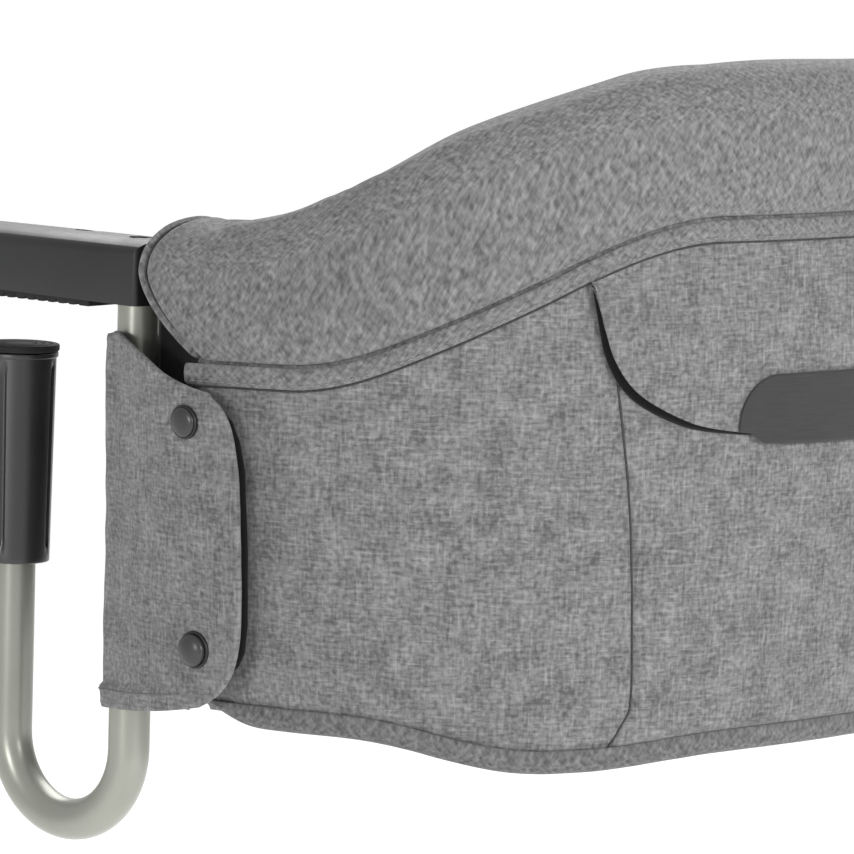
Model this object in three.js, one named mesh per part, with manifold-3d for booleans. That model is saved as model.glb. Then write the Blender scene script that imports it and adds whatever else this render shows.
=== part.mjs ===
// A hook-on table chair: a fabric bucket seat that hangs on a curved rear rail between two posts.
// Each post carries an arm that lies on the table and a hook whose screw clamp presses from below.
// Millimetres, +Z up. The origin is midway between the posts, on the plane of the table top.
// The table lies towards -Y, the back of the seat towards +Y.

import * as THREE from 'three';
import * as BufferGeometryUtils from 'three/addons/utils/BufferGeometryUtils.js';
import Module from 'manifold-3d';

const wasm = await Module();
wasm.setup();

// Gaps between pieces, and the overrun of every cut.
const fitGap = 0.3;
const clothGap = 0.4;
const seamGap = 0.9;
const overrun = 2;
const weldDistance = 1e-4;
const degree = Math.PI / 180;

// Tubes: the two hooks and the rear rail are bent from the same steel tube.
const tubeRadius = 8;
const tubeWall = 1.5;
const tubeSides = 12;
const tubeBoreSides = 8;

// Posts and hooks.
const postSpacing = 390;
const bendRadius = 31.6;
const bendCentreZ = -171.3;
const postTopZ = 24;
const hookStraightSteps = 2;
const hookBendSteps = 12;

// Arms.
const armForwardLength = 145;
const armRearLength = 15;
const armHalfWidth = 18;
const armBottomZ = 1;
const armShoulderZ = 20.5;
const armCrownZ = 27;
const armNoseRadius = 12;
const armCornerRadius = 3;

// Rubber grips let into the arms from below. Their teeth touch the table top at z = 0.
const gripHalfWidth = 13;
const gripRearSetback = 10;
const gripFrontSetback = 9;
const gripDepth = 4.2;
const toothPitch = 5.5;
const toothDepth = 1;
const toothLand = 2.5;

// Pivot: a tongue on the rail socket sits in a slot of the arm, round the post.
const tongueBottomZ = 9;
const tongueTopZ = 18;
const knuckleRadius = 14;
const tongueHalfWidth = 8;
const slotGap = 0.6;
const socketFrontY = 18.8;
const socketRearY = 52;
const socketRadius = 12.3;
const railEndY = 26;
const socketSteps = 4;

// Fold button on top of each arm, with its spring and the bolt that it draws back.
const buttonInward = 7;
const buttonRadius = 5;
const buttonTopZ = 25;
const buttonHeight = 6;
const buttonTravel = 3;
const buttonWedge = 3;
const springPressedLength = 8;
const springWireRadius = 0.45;
const springRadius = 3;
const springTurns = 5;
const springTopGap = 0.5;
const boltHalfWidth = 2.5;
const boltBottomZ = 11;
const boltTopZ = 15;
const boltTravel = 3;
const boltLength = 9;

// Fixing screw that holds each arm down on its post.
const screwHeadRadius = 4.2;
const screwHeadHeight = 1.6;
const screwShankRadius = 1.9;
const screwRecess = 0.4;

// Screw clamp: a sleeve that turns on a threaded plug at the top of the hook's leg.
const tableGap = 20;
const clampTravel = 60;
const padThickness = 4;
const padRadius = 16;
const flangeRadius = 17.2;
const flangeThickness = 4.5;
const sleeveTopRadius = 16;
const sleeveBottomRadius = 13.4;
const sleeveRoof = 3;
const sleeveCollar = 5;
const sleeveBoreRadius = 11;
const collarClearance = 0.5;
const plugRadius = 10.5;
const plugLength = 10;
const plugLift = 0.6;
const plugHeadroom = 0.6;
const plugCap = 1;
const grooveWidth = 2.4;
const grooveDepth = 1.1;
const grooveCount = 4;
const grooveTurn = 20;
const padStemRadius = 5;
const padStemDepth = 1.8;

// Rear rail: a superellipse in plan that climbs from the posts to the middle of the back.
const railDepth = 177;
const railFrontY = 18;
const railPower = 2.4;
const railFrontZ = 15;
const railRise = 65;
const railRiseStartAngle = 2;
const railRiseSpanAngle = 62;
const railSteps = 30;

// Padded cover that straddles the rail, down to the seam with the seat wall.
const coverHalfWidth = 22.5;
const coverCrest = 20;
const coverCavityRadius = 13.4;
const cavitySides = 6;
const seamFrontZ = -18;
const seamRise = 62;
const seamRiseStartAngle = 14;
const seamRiseSpanAngle = 58;
const coverFrontY = 19.2;
const coverTopSetback = 9;
const coverBottomSetback = 25;
const coverSteps = 30;
const coverOutlineShares = [
  [0.9, -1], [0.96, -0.66], [1, -0.25], [0.98, 0.2], [0.86, 0.6], [0.55, 0.9], [0, 1],
  [-0.55, 0.9], [-0.86, 0.6], [-0.98, 0.2], [-1, -0.25], [-0.96, -0.66], [-0.9, -1],
];

// Seat wall: the outer fabric between the cover's seam and the hem.
const wallTopOffset = 19.5;
const wallBottomOffset = 10;
const wallThickness = 5;
const wallBulge = 1.6;
const wallFrontY = 22;
const wallSteps = 30;
const hemFrontZ = -146;
const hemBump = 6.5;
const hemBumpAngle = 50;
const hemBumpSpread = 14;
const hemDrop = 5;
const hemDropStartAngle = 25;
const hemDropSpanAngle = 30;
const hemHeight = 8.5;
const hemThickness = 7;
const hemBulge = 1;
const seamTapeHeight = 9;
const seamTapeThickness = 1.2;

// Inner lining: the quilted inside of the seat wall.
const liningTopOffset = -13.4;
const liningBottomOffset = 1;
const liningThickness = 7;
const liningBulge = 2.5;
const liningFrontY = 31;

// Seat base, from the bottom up: fabric panel, stiffening board and cushion.
const bottomPanelZ = -147;
const bottomPanelThickness = 2;
const boardThickness = 3;
const cushionThickness = 12;
const cushionCrown = 6;
const baseOffset = 2;
const cushionSegments = 48;
const baseFrontY = 24;
const baseCentreY = 96;
const baseOutlineSteps = 30;
const cushionProfileShares = [[1, 0.5], [0.95, 0.86], [0.8, 0.96], [0.5, 0.99], [0, 1]];

// Front panel: a band between the posts with a part that drops between the legs.
const panelThickness = 5;
const bandEndTopZ = -24;
const bandEndBottomZ = -52;
const bandMiddleTopZ = -42;
const crotchTopHalfWidth = 46;
const crotchWaistHalfWidth = 34;
const crotchBottomHalfWidth = 44;
const legArchZ = -66;
const crotchFlareHeight = 16.5;
const bandEndGap = 1;

// Back pocket, its flap and the bare patch on the flap.
const pocketAngle = 58.5;
const pocketThickness = 2.2;
const pocketTopDrop = 34;
const flapAngle = 52.8;
const flapCurveAngle = 20;
const flapDrop = 57;
const flapThickness = 2;
const flapLeastHeight = 3;
const patchAngle = 71;
const patchTopZ = -16.5;
const patchThickness = 1.2;

// Post wraps: fabric that goes round each post and closes on the outside with two snaps.
const wrapThickness = 2.4;
const wrapClearance = 0.8;
const wrapTopZ = -11;
const wrapBottomZ = -153.5;
const wrapInnerRearY = 20.5;
const wrapOuterRearY = 70.5;
const wrapStandOff = 0.8;
const wrapCornerRadius = 22;
const wrapTopCornerDrop = 33;
const wrapLeanShare = 0.8;
const wrapTurnSides = 14;
const wrapTopRearZ = -26.5;
const wrapBottomRearZ = -147;
const wrapHeightSteps = 6;
const snapY = 48.5;
const snapTopInset = 28;
const snapBottomInset = 28;
const snapRadius = 7;
const snapDome = 2.4;
const snapProfileShares = [[0, 0], [1, 0], [1, 0.4], [0.8, 0.85], [0, 1]];

// Harness: lap straps and a crotch strap that meet in a buckle over the cushion.
const strapWidth = 25;
const strapThickness = 1.6;
const strapCentreY = 92;
const lapStrapEndGap = 11.6;
const lapStrapRiseLength = 61;
const lapStrapEndLift = 20;
const buckleHalfLength = 24;
const buckleHalfWidth = 18;
const buckleHeight = 12;
const buckleCornerRadius = 7;
const tongueSlotHeight = 4;
const tongueInsert = 12;
const tonguePlateThickness = 2.4;
const tonguePlateLength = 16;
const buckleButtonRadius = 7;
const buckleButtonTravel = 2.5;
const buckleButtonHeight = 5;

const halfSpacing = postSpacing / 2;
const legY = -2 * bendRadius;
const hookSteps = 2 * hookStraightSteps + hookBendSteps;
const padTopZ = -tableGap;
const panelFrontY = wrapInnerRearY + clothGap;
const buttonForward = knuckleRadius + boltLength + boltTravel + buttonWedge + buttonRadius;
const buttonPocketBottomZ = buttonTopZ - buttonHeight - buttonTravel - springPressedLength;
const sleeveTopZ = padTopZ - padThickness - fitGap;
const plugRoom = plugLift + plugLength + clampTravel + plugHeadroom;
const sleeveLength = sleeveCollar + plugRoom + sleeveRoof + padStemDepth;
const sleeveBottomZ = sleeveTopZ - sleeveLength;
const plugBottomZ = sleeveBottomZ + sleeveCollar + plugLift;
const plugTopZ = plugBottomZ + plugLength;
const legTopZ = plugTopZ - plugCap - fitGap;
const boardZ = bottomPanelZ + bottomPanelThickness + clothGap;
const cushionZ = boardZ + boardThickness + clothGap;
const liningBottomZ = cushionZ + cushionThickness + clothGap;
const socketBoreRadius = tubeRadius + fitGap;

const charcoal = new THREE.MeshStandardMaterial({ color: 0x3d3e3f, roughness: 0.55, metalness: 0 });
const blackPlastic = new THREE.MeshStandardMaterial({ color: 0x232324, roughness: 0.5, metalness: 0 });
const blackRubber = new THREE.MeshStandardMaterial({ color: 0x151515, roughness: 0.85, metalness: 0 });
const silverPaint = new THREE.MeshStandardMaterial({ color: 0xa9aaa2, roughness: 0.38, metalness: 0.5 });
const steel = new THREE.MeshStandardMaterial({ color: 0xb4b6b8, roughness: 0.3, metalness: 1 });
const greyMelange = new THREE.MeshStandardMaterial({ color: 0x858585, roughness: 0.95, metalness: 0 });
const darkLining = new THREE.MeshStandardMaterial({ color: 0x4a4b4d, roughness: 0.95, metalness: 0 });
const webbing = new THREE.MeshStandardMaterial({ color: 0x2a2a2b, roughness: 0.9, metalness: 0 });
const darkPatch = new THREE.MeshStandardMaterial({ color: 0x474747, roughness: 0.7, metalness: 0 });

const model = new THREE.Group();

function addPiece(name, geometry, material, parent = model) {
  const mesh = new THREE.Mesh(geometry, material);
  mesh.name = name;
  parent.add(mesh);
  return mesh;
}

// Closed geometry helpers.

function signedVolume(geometry) {
  const place = geometry.attributes.position;
  const index = geometry.index;
  const corners = [new THREE.Vector3(), new THREE.Vector3(), new THREE.Vector3()];
  let total = 0;
  for (let first = 0; first < index.count; first += 3) {
    corners.forEach((corner, i) => corner.fromBufferAttribute(place, index.getX(first + i)));
    total += corners[0].dot(corners[1].clone().cross(corners[2])) / 6;
  }
  return total;
}

function welded(geometry) {
  const bare = geometry.clone();
  bare.deleteAttribute('normal');
  bare.deleteAttribute('uv');
  const closed = BufferGeometryUtils.mergeVertices(bare, weldDistance);
  if (signedVolume(closed) < 0) {
    const index = closed.index;
    for (let first = 0; first < index.count; first += 3) {
      const second = index.getX(first + 1);
      index.setX(first + 1, index.getX(first + 2));
      index.setX(first + 2, second);
    }
  }
  return closed;
}

function toSolid(geometry) {
  const closed = welded(geometry);
  return new wasm.Manifold(new wasm.Mesh({
    numProp: 3,
    vertProperties: Float32Array.from(closed.attributes.position.array),
    triVerts: Uint32Array.from(closed.index.array),
  }));
}

function fromSolid(solid) {
  const mesh = solid.getMesh();
  const geometry = new THREE.BufferGeometry();
  geometry.setAttribute('position', new THREE.BufferAttribute(Float32Array.from(mesh.vertProperties), 3));
  geometry.setIndex(new THREE.BufferAttribute(Uint32Array.from(mesh.triVerts), 1));
  return geometry;
}

function cut(geometry, ...tools) {
  let solid = toSolid(geometry);
  for (const tool of tools) {
    solid = solid.subtract(toSolid(tool));
  }
  return fromSolid(solid);
}

function joined(geometry, ...others) {
  let solid = toSolid(geometry);
  for (const other of others) {
    solid = solid.add(toSolid(other));
  }
  return fromSolid(solid);
}

function common(geometry, other) {
  return fromSolid(toSolid(geometry).intersect(toSolid(other)));
}

function mirrored(geometry) {
  return welded(geometry.clone().scale(-1, 1, 1));
}

// A vertical cylinder between two heights.
function cylinder(radius, bottomZ, topZ, x = 0, y = 0, sides = 20, topRadius = radius) {
  const geometry = new THREE.CylinderGeometry(topRadius, radius, topZ - bottomZ, sides);
  geometry.rotateX(Math.PI / 2);
  geometry.translate(x, y, (bottomZ + topZ) / 2);
  return geometry;
}

// A box between two opposite corners.
function box(x0, x1, y0, y1, z0, z1) {
  const geometry = new THREE.BoxGeometry(x1 - x0, y1 - y0, z1 - z0);
  geometry.translate((x0 + x1) / 2, (y0 + y1) / 2, (z0 + z1) / 2);
  return geometry;
}

// A plan outline raised along Z.
function raised(outline, bottomZ, topZ, curveSegments = 6) {
  const depth = topZ - bottomZ;
  const geometry = new THREE.ExtrudeGeometry(outline, { depth, bevelEnabled: false, curveSegments });
  geometry.translate(0, 0, bottomZ);
  return geometry;
}

// An outline drawn in Y and Z, carried along X.
function alongX(outline, x0, x1, curveSegments = 6) {
  const depth = x1 - x0;
  const geometry = new THREE.ExtrudeGeometry(outline, { depth, bevelEnabled: false, curveSegments });
  geometry.rotateX(Math.PI / 2);
  geometry.rotateZ(Math.PI / 2);
  geometry.translate(x0, 0, 0);
  return geometry;
}

// An outline drawn in X and Z, carried along Y.
function alongY(outline, y0, y1, curveSegments = 6) {
  const depth = y1 - y0;
  const geometry = new THREE.ExtrudeGeometry(outline, { depth, bevelEnabled: false, curveSegments });
  geometry.rotateX(Math.PI / 2);
  geometry.translate(0, y1, 0);
  return geometry;
}

function outlineOf(points) {
  return new THREE.Shape(points.map(([x, y]) => new THREE.Vector2(x, y)));
}

function circleOutline(radius, sides, holeRadius = 0, holeSides = sides) {
  const corners = (r, n) => Array.from({ length: n }, (unused, i) => new THREE.Vector2(
    r * Math.cos((2 * Math.PI * i) / n), r * Math.sin((2 * Math.PI * i) / n)));
  const shape = new THREE.Shape(corners(radius, sides));
  if (holeRadius > 0) shape.holes.push(new THREE.Path(corners(holeRadius, holeSides)));
  return shape;
}

function mapped(geometry, place) {
  const position = geometry.attributes.position;
  const point = new THREE.Vector3();
  for (let i = 0; i < position.count; i += 1) {
    point.fromBufferAttribute(position, i);
    place(point);
    position.setXYZ(i, point.x, point.y, point.z);
  }
  return welded(geometry);
}

// The rail's course. Angles run from 0 at the +X post, over 90 at the middle of the back, to 180.

function smooth(value) {
  const t = Math.min(1, Math.max(0, value));
  return t * t * (3 - 2 * t);
}

const foldedAngle = (angle) => Math.min(angle, 180 - angle);
const railZ = (angle) => railFrontZ
  + railRise * smooth((foldedAngle(angle) - railRiseStartAngle) / railRiseSpanAngle);
const seamZ = (angle) => seamFrontZ
  + seamRise * smooth((foldedAngle(angle) - seamRiseStartAngle) / seamRiseSpanAngle);

function hemZ(angle) {
  const side = foldedAngle(angle);
  const bump = Math.exp(-(((side - hemBumpAngle) / hemBumpSpread) ** 2));
  return hemFrontZ - hemBump * bump - hemDrop * smooth((side - hemDropStartAngle) / hemDropSpanAngle);
}

class RailPlan extends THREE.Curve {
  getPoint(t) {
    const angle = Math.PI * t;
    const power = 2 / railPower;
    const cosine = Math.cos(angle);
    const x = halfSpacing * Math.sign(cosine) * Math.abs(cosine) ** power;
    const y = railFrontY + railDepth * Math.abs(Math.sin(angle)) ** power;
    return new THREE.Vector3(x, y, 0);
  }
}

const railPlan = new RailPlan();
railPlan.arcLengthDivisions = 800;
const railLength = railPlan.getLength();
const shareAtY = (y) => (y - railFrontY) / railLength;

// Half the width between the rail's sides at a depth.
function railHalfWidthAt(y) {
  const depthShare = (y - railFrontY) / railDepth;
  return halfSpacing * (1 - depthShare ** railPower) ** (1 / railPower);
}

function angleAtShare(share) {
  return 180 * railPlan.getUtoTmapping(share);
}

function shareAtAngle(angle) {
  let low = 0;
  let high = 1;
  for (let round = 0; round < 40; round += 1) {
    const middle = (low + high) / 2;
    if (angleAtShare(middle) < angle) low = middle;
    else high = middle;
  }
  return (low + high) / 2;
}

// A plan point at an arc-length share, moved outward by an offset.
function planPoint(share, offset) {
  const t = railPlan.getUtoTmapping(share);
  const point = railPlan.getPoint(t);
  const step = 1e-4;
  const before = railPlan.getPoint(Math.max(0, t - step));
  const after = railPlan.getPoint(Math.min(1, t + step));
  const tangent = after.sub(before).normalize();
  return new THREE.Vector3(point.x + tangent.y * offset, point.y - tangent.x * offset, 0);
}

// A section swept along the rail's plan. place gives each section point its offset and height.
function swept(section, steps, place, ends, curveSegments = 4) {
  const settings = { depth: 1, steps, bevelEnabled: false, curveSegments };
  const geometry = new THREE.ExtrudeGeometry(section, settings);
  return mapped(geometry, (point) => {
    const { x: u, y: v, z: w } = point;
    const from = ends(v);
    const share = from + (1 - 2 * from) * w;
    const angle = angleAtShare(share);
    const { offset, z } = place(u, v, angle);
    point.copy(planPoint(share, offset)).setZ(z);
  });
}

// A unit wall section, u from its inner to its outer face, v from bottom to top.
function wallSection(rows) {
  const points = [];
  for (let row = 0; row <= rows; row += 1) points.push([1, row / rows]);
  for (let row = rows; row >= 0; row -= 1) points.push([0, row / rows]);
  return outlineOf(points);
}

function wallShare(z, angle) {
  return (z - hemZ(angle)) / (seamZ(angle) - hemZ(angle));
}

// Outer face of the seat wall at a height.
function wallOffset(z, angle) {
  const v = Math.min(1, Math.max(0, wallShare(z, angle)));
  return wallBottomOffset + (wallTopOffset - wallBottomOffset) * v + wallBulge * Math.sin(Math.PI * v);
}

// Frame and hooks.

class HookPath extends THREE.Curve {
  constructor() {
    super();
    this.postLength = postTopZ - bendCentreZ;
    this.legLength = legTopZ - bendCentreZ;
    this.total = this.postLength + this.legLength + Math.PI * bendRadius;
  }

  // The straight runs take few steps, the bend most of them.
  getUtoTmapping(u) {
    const step = u * hookSteps;
    const bendLength = Math.PI * bendRadius;
    const intoBend = Math.min(hookBendSteps, Math.max(0, step - hookStraightSteps)) / hookBendSteps;
    const intoPost = Math.min(1, step / hookStraightSteps);
    const intoLeg = Math.max(0, step - hookStraightSteps - hookBendSteps) / hookStraightSteps;
    return (this.postLength * intoPost + bendLength * intoBend + this.legLength * intoLeg) / this.total;
  }

  getPoint(t) {
    const run = t * this.total;
    if (run < this.postLength) return new THREE.Vector3(0, 0, postTopZ - run);
    const round = (run - this.postLength) / bendRadius;
    if (round < Math.PI) {
      const y = -bendRadius * (1 - Math.cos(round));
      return new THREE.Vector3(0, y, bendCentreZ - bendRadius * Math.sin(round));
    }
    const up = run - this.postLength - Math.PI * bendRadius;
    return new THREE.Vector3(0, legY, bendCentreZ + up);
  }
}

function tubeAlong(path, steps) {
  const section = circleOutline(tubeRadius, tubeSides, tubeRadius - tubeWall, tubeBoreSides);
  return new THREE.ExtrudeGeometry(section, { steps, extrudePath: path, bevelEnabled: false });
}

// The rail's centre line between two arc-length shares.
class RailPath extends THREE.Curve {
  constructor(from, to) {
    super();
    this.from = from;
    this.to = to;
  }

  getPoint(t) {
    const share = this.from + (this.to - this.from) * t;
    return planPoint(share, 0).setZ(railZ(angleAtShare(share)));
  }
}

// A solid round rod along the front of the rail, drawn at the post axis.
function rodAlong(radius, fromY, toY, sides) {
  const rod = new THREE.ExtrudeGeometry(circleOutline(radius, sides), {
    steps: socketSteps, extrudePath: new RailPath(shareAtY(fromY), shareAtY(toY)), bevelEnabled: false,
  });
  return rod.translate(-halfSpacing, 0, 0);
}

// Rail socket with the tongue that the arm turns round. Drawn at the post axis.
function railSocket() {
  const body = rodAlong(socketRadius, socketFrontY, socketRearY, 16);
  const neck = box(-tongueHalfWidth, tongueHalfWidth, 0, socketFrontY + overrun, tongueBottomZ, tongueTopZ);
  const knuckle = cylinder(knuckleRadius, tongueBottomZ, tongueTopZ, 0, 0, 32);
  const railBore = rodAlong(socketBoreRadius + fitGap, railEndY - fitGap, socketRearY + overrun, 14);
  const postBore = cylinder(socketBoreRadius, tongueBottomZ - overrun, tongueTopZ + overrun, 0, 0, 24);
  return cut(joined(body, neck, knuckle), railBore, postBore);
}

// Arm shell, drawn at the post axis of the +X side. The inner rear corner is round so that it can turn.
function armPlan() {
  const shape = new THREE.Shape();
  const frontY = -armForwardLength;
  shape.moveTo(-armHalfWidth, 0);
  shape.lineTo(-armHalfWidth, frontY + armNoseRadius);
  shape.quadraticCurveTo(-armHalfWidth, frontY, -armHalfWidth + armNoseRadius, frontY);
  shape.lineTo(armHalfWidth - armNoseRadius, frontY);
  shape.quadraticCurveTo(armHalfWidth, frontY, armHalfWidth, frontY + armNoseRadius);
  shape.lineTo(armHalfWidth, armRearLength - armCornerRadius);
  shape.quadraticCurveTo(armHalfWidth, armRearLength, armHalfWidth - armCornerRadius, armRearLength);
  shape.lineTo(0, armRearLength);
  shape.absellipse(0, 0, armHalfWidth, armRearLength, Math.PI / 2, Math.PI, false, 0);
  return shape;
}

function armCrossSection() {
  const shape = new THREE.Shape();
  shape.moveTo(-armHalfWidth - overrun, armBottomZ);
  shape.lineTo(armHalfWidth + overrun, armBottomZ);
  shape.lineTo(armHalfWidth + overrun, armShoulderZ);
  shape.lineTo(armHalfWidth, armShoulderZ);
  shape.quadraticCurveTo(armHalfWidth, armCrownZ - fitGap, 0, armCrownZ);
  shape.quadraticCurveTo(-armHalfWidth, armCrownZ - fitGap, -armHalfWidth, armShoulderZ);
  shape.lineTo(-armHalfWidth - overrun, armShoulderZ);
  return shape;
}

function armShell() {
  const body = common(
    raised(armPlan(), armBottomZ - overrun, armCrownZ + overrun),
    alongY(armCrossSection(), -armForwardLength - overrun, armRearLength + overrun),
  );
  const slotBottomZ = tongueBottomZ - clothGap;
  const slotTopZ = tongueTopZ + clothGap;
  const slotReach = tongueHalfWidth + slotGap;
  const slot = [
    cylinder(knuckleRadius + slotGap, slotBottomZ, slotTopZ, 0, 0, 32),
    box(-armHalfWidth - overrun, slotReach, 0, armRearLength + overrun, slotBottomZ, slotTopZ),
    box(-armHalfWidth - overrun, 0, -slotReach, armRearLength + overrun, slotBottomZ, slotTopZ),
  ];
  const postBore = cylinder(socketBoreRadius, armBottomZ - overrun, postTopZ + fitGap);
  const gripPocket = box(
    -gripHalfWidth - fitGap, gripHalfWidth + fitGap,
    -armForwardLength + gripFrontSetback - fitGap, -gripRearSetback + fitGap,
    armBottomZ - overrun, gripDepth + fitGap,
  );
  const buttonWell = cylinder(
    buttonRadius + fitGap, buttonPocketBottomZ, armCrownZ + overrun, -buttonInward, -buttonForward,
  );
  const boltWell = box(
    -buttonInward - boltHalfWidth - fitGap, -buttonInward + boltHalfWidth + fitGap,
    -buttonForward + buttonRadius - overrun, -knuckleRadius / 2,
    boltBottomZ - fitGap, boltTopZ + fitGap,
  );
  const screwSeatZ = armCrownZ - screwHeadHeight - screwRecess;
  const screwWell = [
    cylinder(screwHeadRadius + fitGap, screwSeatZ, armCrownZ + overrun, 0, 0, 16),
    cylinder(screwShankRadius + fitGap, postTopZ - overrun, armCrownZ, 0, 0, 12),
  ];
  return cut(body, ...slot, postBore, gripPocket, buttonWell, boltWell, ...screwWell);
}

function fixingScrew() {
  const headBottomZ = armCrownZ - screwHeadHeight - screwRecess + fitGap;
  const head = cylinder(screwHeadRadius, headBottomZ, headBottomZ + screwHeadHeight - fitGap, 0, 0, 16);
  const tipZ = postTopZ - overrun - screwHeadRadius;
  const shank = cylinder(screwShankRadius, tipZ, headBottomZ + fitGap, 0, 0, 12);
  return joined(head, shank);
}

// Grip with a saw-cut underside: teeth with flat lands that bear on the table.
function armGrip() {
  const frontY = -armForwardLength + gripFrontSetback;
  const rearY = -gripRearSetback;
  const count = Math.floor((rearY - frontY - toothLand) / toothPitch);
  const points = [[frontY, gripDepth], [frontY, 0], [frontY + toothLand, 0]];
  for (let tooth = 0; tooth < count; tooth += 1) {
    const start = frontY + toothLand + tooth * toothPitch;
    points.push([start + (toothPitch - toothLand) / 2, toothDepth]);
    points.push([start + toothPitch - toothLand, 0]);
    points.push([start + toothPitch, 0]);
  }
  points.push([rearY, 0], [rearY, gripDepth]);
  return alongX(outlineOf(points), -gripHalfWidth, gripHalfWidth);
}

function foldButton() {
  return cylinder(buttonRadius, buttonTopZ - buttonHeight, buttonTopZ, -buttonInward, -buttonForward);
}

class SpringPath extends THREE.Curve {
  constructor(bottomZ, topZ) {
    super();
    this.bottomZ = bottomZ;
    this.topZ = topZ;
  }

  getPoint(t) {
    const turn = 2 * Math.PI * springTurns * t;
    return new THREE.Vector3(
      -buttonInward + springRadius * Math.cos(turn),
      -buttonForward + springRadius * Math.sin(turn),
      this.bottomZ + (this.topZ - this.bottomZ) * t,
    );
  }
}

function buttonSpring() {
  const bottomZ = buttonPocketBottomZ + springWireRadius + fitGap;
  const topZ = buttonTopZ - buttonHeight - springWireRadius - springTopGap;
  return new THREE.ExtrudeGeometry(circleOutline(springWireRadius, 5), {
    steps: springTurns * 6, extrudePath: new SpringPath(bottomZ, topZ), bevelEnabled: false,
  });
}

// Bolt in front of the knuckle. At rest its tip stands just clear of the knuckle's rim.
function latchBolt() {
  const tipY = -Math.sqrt((knuckleRadius + fitGap) ** 2 - (buttonInward - boltHalfWidth) ** 2) - fitGap;
  return box(
    -buttonInward - boltHalfWidth, -buttonInward + boltHalfWidth,
    tipY - boltLength, tipY, boltBottomZ, boltTopZ,
  );
}

function threadedPlug() {
  const body = cylinder(plugRadius, plugBottomZ, plugTopZ, 0, legY, 24);
  const bore = cylinder(tubeRadius + fitGap, plugBottomZ - overrun, legTopZ + fitGap, 0, legY, 24);
  return cut(body, bore);
}

// Sleeve: a tapered grip with a flange, open at the bottom, with four long grooves.
function clampSleeve() {
  const outline = [
    [tubeRadius + collarClearance, sleeveBottomZ],
    [sleeveBottomRadius - grooveDepth, sleeveBottomZ],
    [sleeveBottomRadius, sleeveBottomZ + grooveDepth],
    [sleeveTopRadius, sleeveTopZ - flangeThickness],
    [flangeRadius, sleeveTopZ - flangeThickness + grooveDepth],
    [flangeRadius, sleeveTopZ],
    [padStemRadius + fitGap, sleeveTopZ],
    [padStemRadius + fitGap, sleeveTopZ - padStemDepth - fitGap],
    [0, sleeveTopZ - padStemDepth - fitGap],
    [0, sleeveTopZ - padStemDepth - sleeveRoof],
    [sleeveBoreRadius, sleeveTopZ - padStemDepth - sleeveRoof],
    [sleeveBoreRadius, sleeveBottomZ + sleeveCollar],
    [tubeRadius + collarClearance, sleeveBottomZ + sleeveCollar],
    [tubeRadius + collarClearance, sleeveBottomZ],
  ];
  const turned = new THREE.LatheGeometry(outline.map(([r, z]) => new THREE.Vector2(r, z)), 32);
  turned.rotateX(Math.PI / 2);
  const slope = (sleeveTopRadius - sleeveBottomRadius) / (sleeveLength - flangeThickness);
  const grooves = Array.from({ length: grooveCount }, (unused, i) => {
    const groove = new THREE.BoxGeometry(grooveWidth, 2 * grooveDepth, sleeveLength - 2 * flangeThickness);
    groove.translate(0, (sleeveTopRadius + sleeveBottomRadius) / 2 + grooveDepth / 4, 0);
    groove.rotateX(-Math.atan(slope));
    groove.rotateZ(grooveTurn * degree + (2 * Math.PI * i) / grooveCount);
    groove.translate(0, 0, (sleeveTopZ + sleeveBottomZ) / 2 - flangeThickness / 2);
    return groove;
  });
  const solid = cut(turned, ...grooves);
  return solid.translate(0, legY, 0);
}

function clampPad() {
  const plate = cylinder(padRadius, padTopZ - padThickness, padTopZ, 0, legY, 32);
  const stem = cylinder(padStemRadius, sleeveTopZ - padStemDepth, padTopZ - padThickness / 2, 0, legY, 24);
  return joined(plate, stem);
}

// Soft pieces along the rail.

function topCover() {
  const outline = new THREE.Shape();
  const drop = railFrontZ - seamFrontZ;
  const at = ([u, v]) => new THREE.Vector2(u * coverHalfWidth, v > 0 ? v * coverCrest : v * drop);
  const [first, ...rest] = coverOutlineShares;
  outline.moveTo(at(first).x, at(first).y);
  outline.splineThru(rest.map(at));
  outline.lineTo(-coverCavityRadius, -drop);
  for (let side = 0; side <= cavitySides; side += 1) {
    const turn = Math.PI * (1 - side / cavitySides);
    outline.lineTo(coverCavityRadius * Math.cos(turn), coverCavityRadius * Math.sin(turn));
  }
  outline.lineTo(coverCavityRadius, -drop);
  const place = (u, v, angle) => {
    const stretch = v < 0 ? (railZ(angle) - seamZ(angle)) / drop : 1;
    return { offset: u, z: railZ(angle) + v * stretch };
  };
  const ends = (v) => {
    const setback = v > 0
      ? coverTopSetback * (v / coverCrest) ** 2
      : coverBottomSetback * Math.abs(v / drop) ** 1.5;
    return shareAtY(coverFrontY + setback);
  };
  return swept(outline, coverSteps, place, ends, 2);
}

function seatWall() {
  return swept(wallSection(5), wallSteps, (u, v, angle) => {
    const top = seamZ(angle) - seamGap;
    const bottom = hemZ(angle);
    const z = bottom + (top - bottom) * v;
    return { offset: wallOffset(z, angle) - wallThickness * (1 - u), z };
  }, () => shareAtY(wallFrontY));
}

function hemBinding() {
  return swept(wallSection(2), wallSteps, (u, v, angle) => {
    const top = hemZ(angle) - clothGap;
    const outer = wallBottomOffset + hemBulge * Math.sin(Math.PI * v);
    return { offset: outer - hemThickness * (1 - u) - u * clothGap, z: top - hemHeight * (1 - v) };
  }, () => shareAtY(wallFrontY));
}

function seamTape() {
  return swept(wallSection(1), wallSteps, (u, v, angle) => {
    const z = seamZ(angle) - seamGap - seamTapeHeight * (1 - v);
    return { offset: wallOffset(z, angle) + clothGap + seamTapeThickness * u, z };
  }, () => shareAtY(coverFrontY + coverBottomSetback));
}

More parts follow.
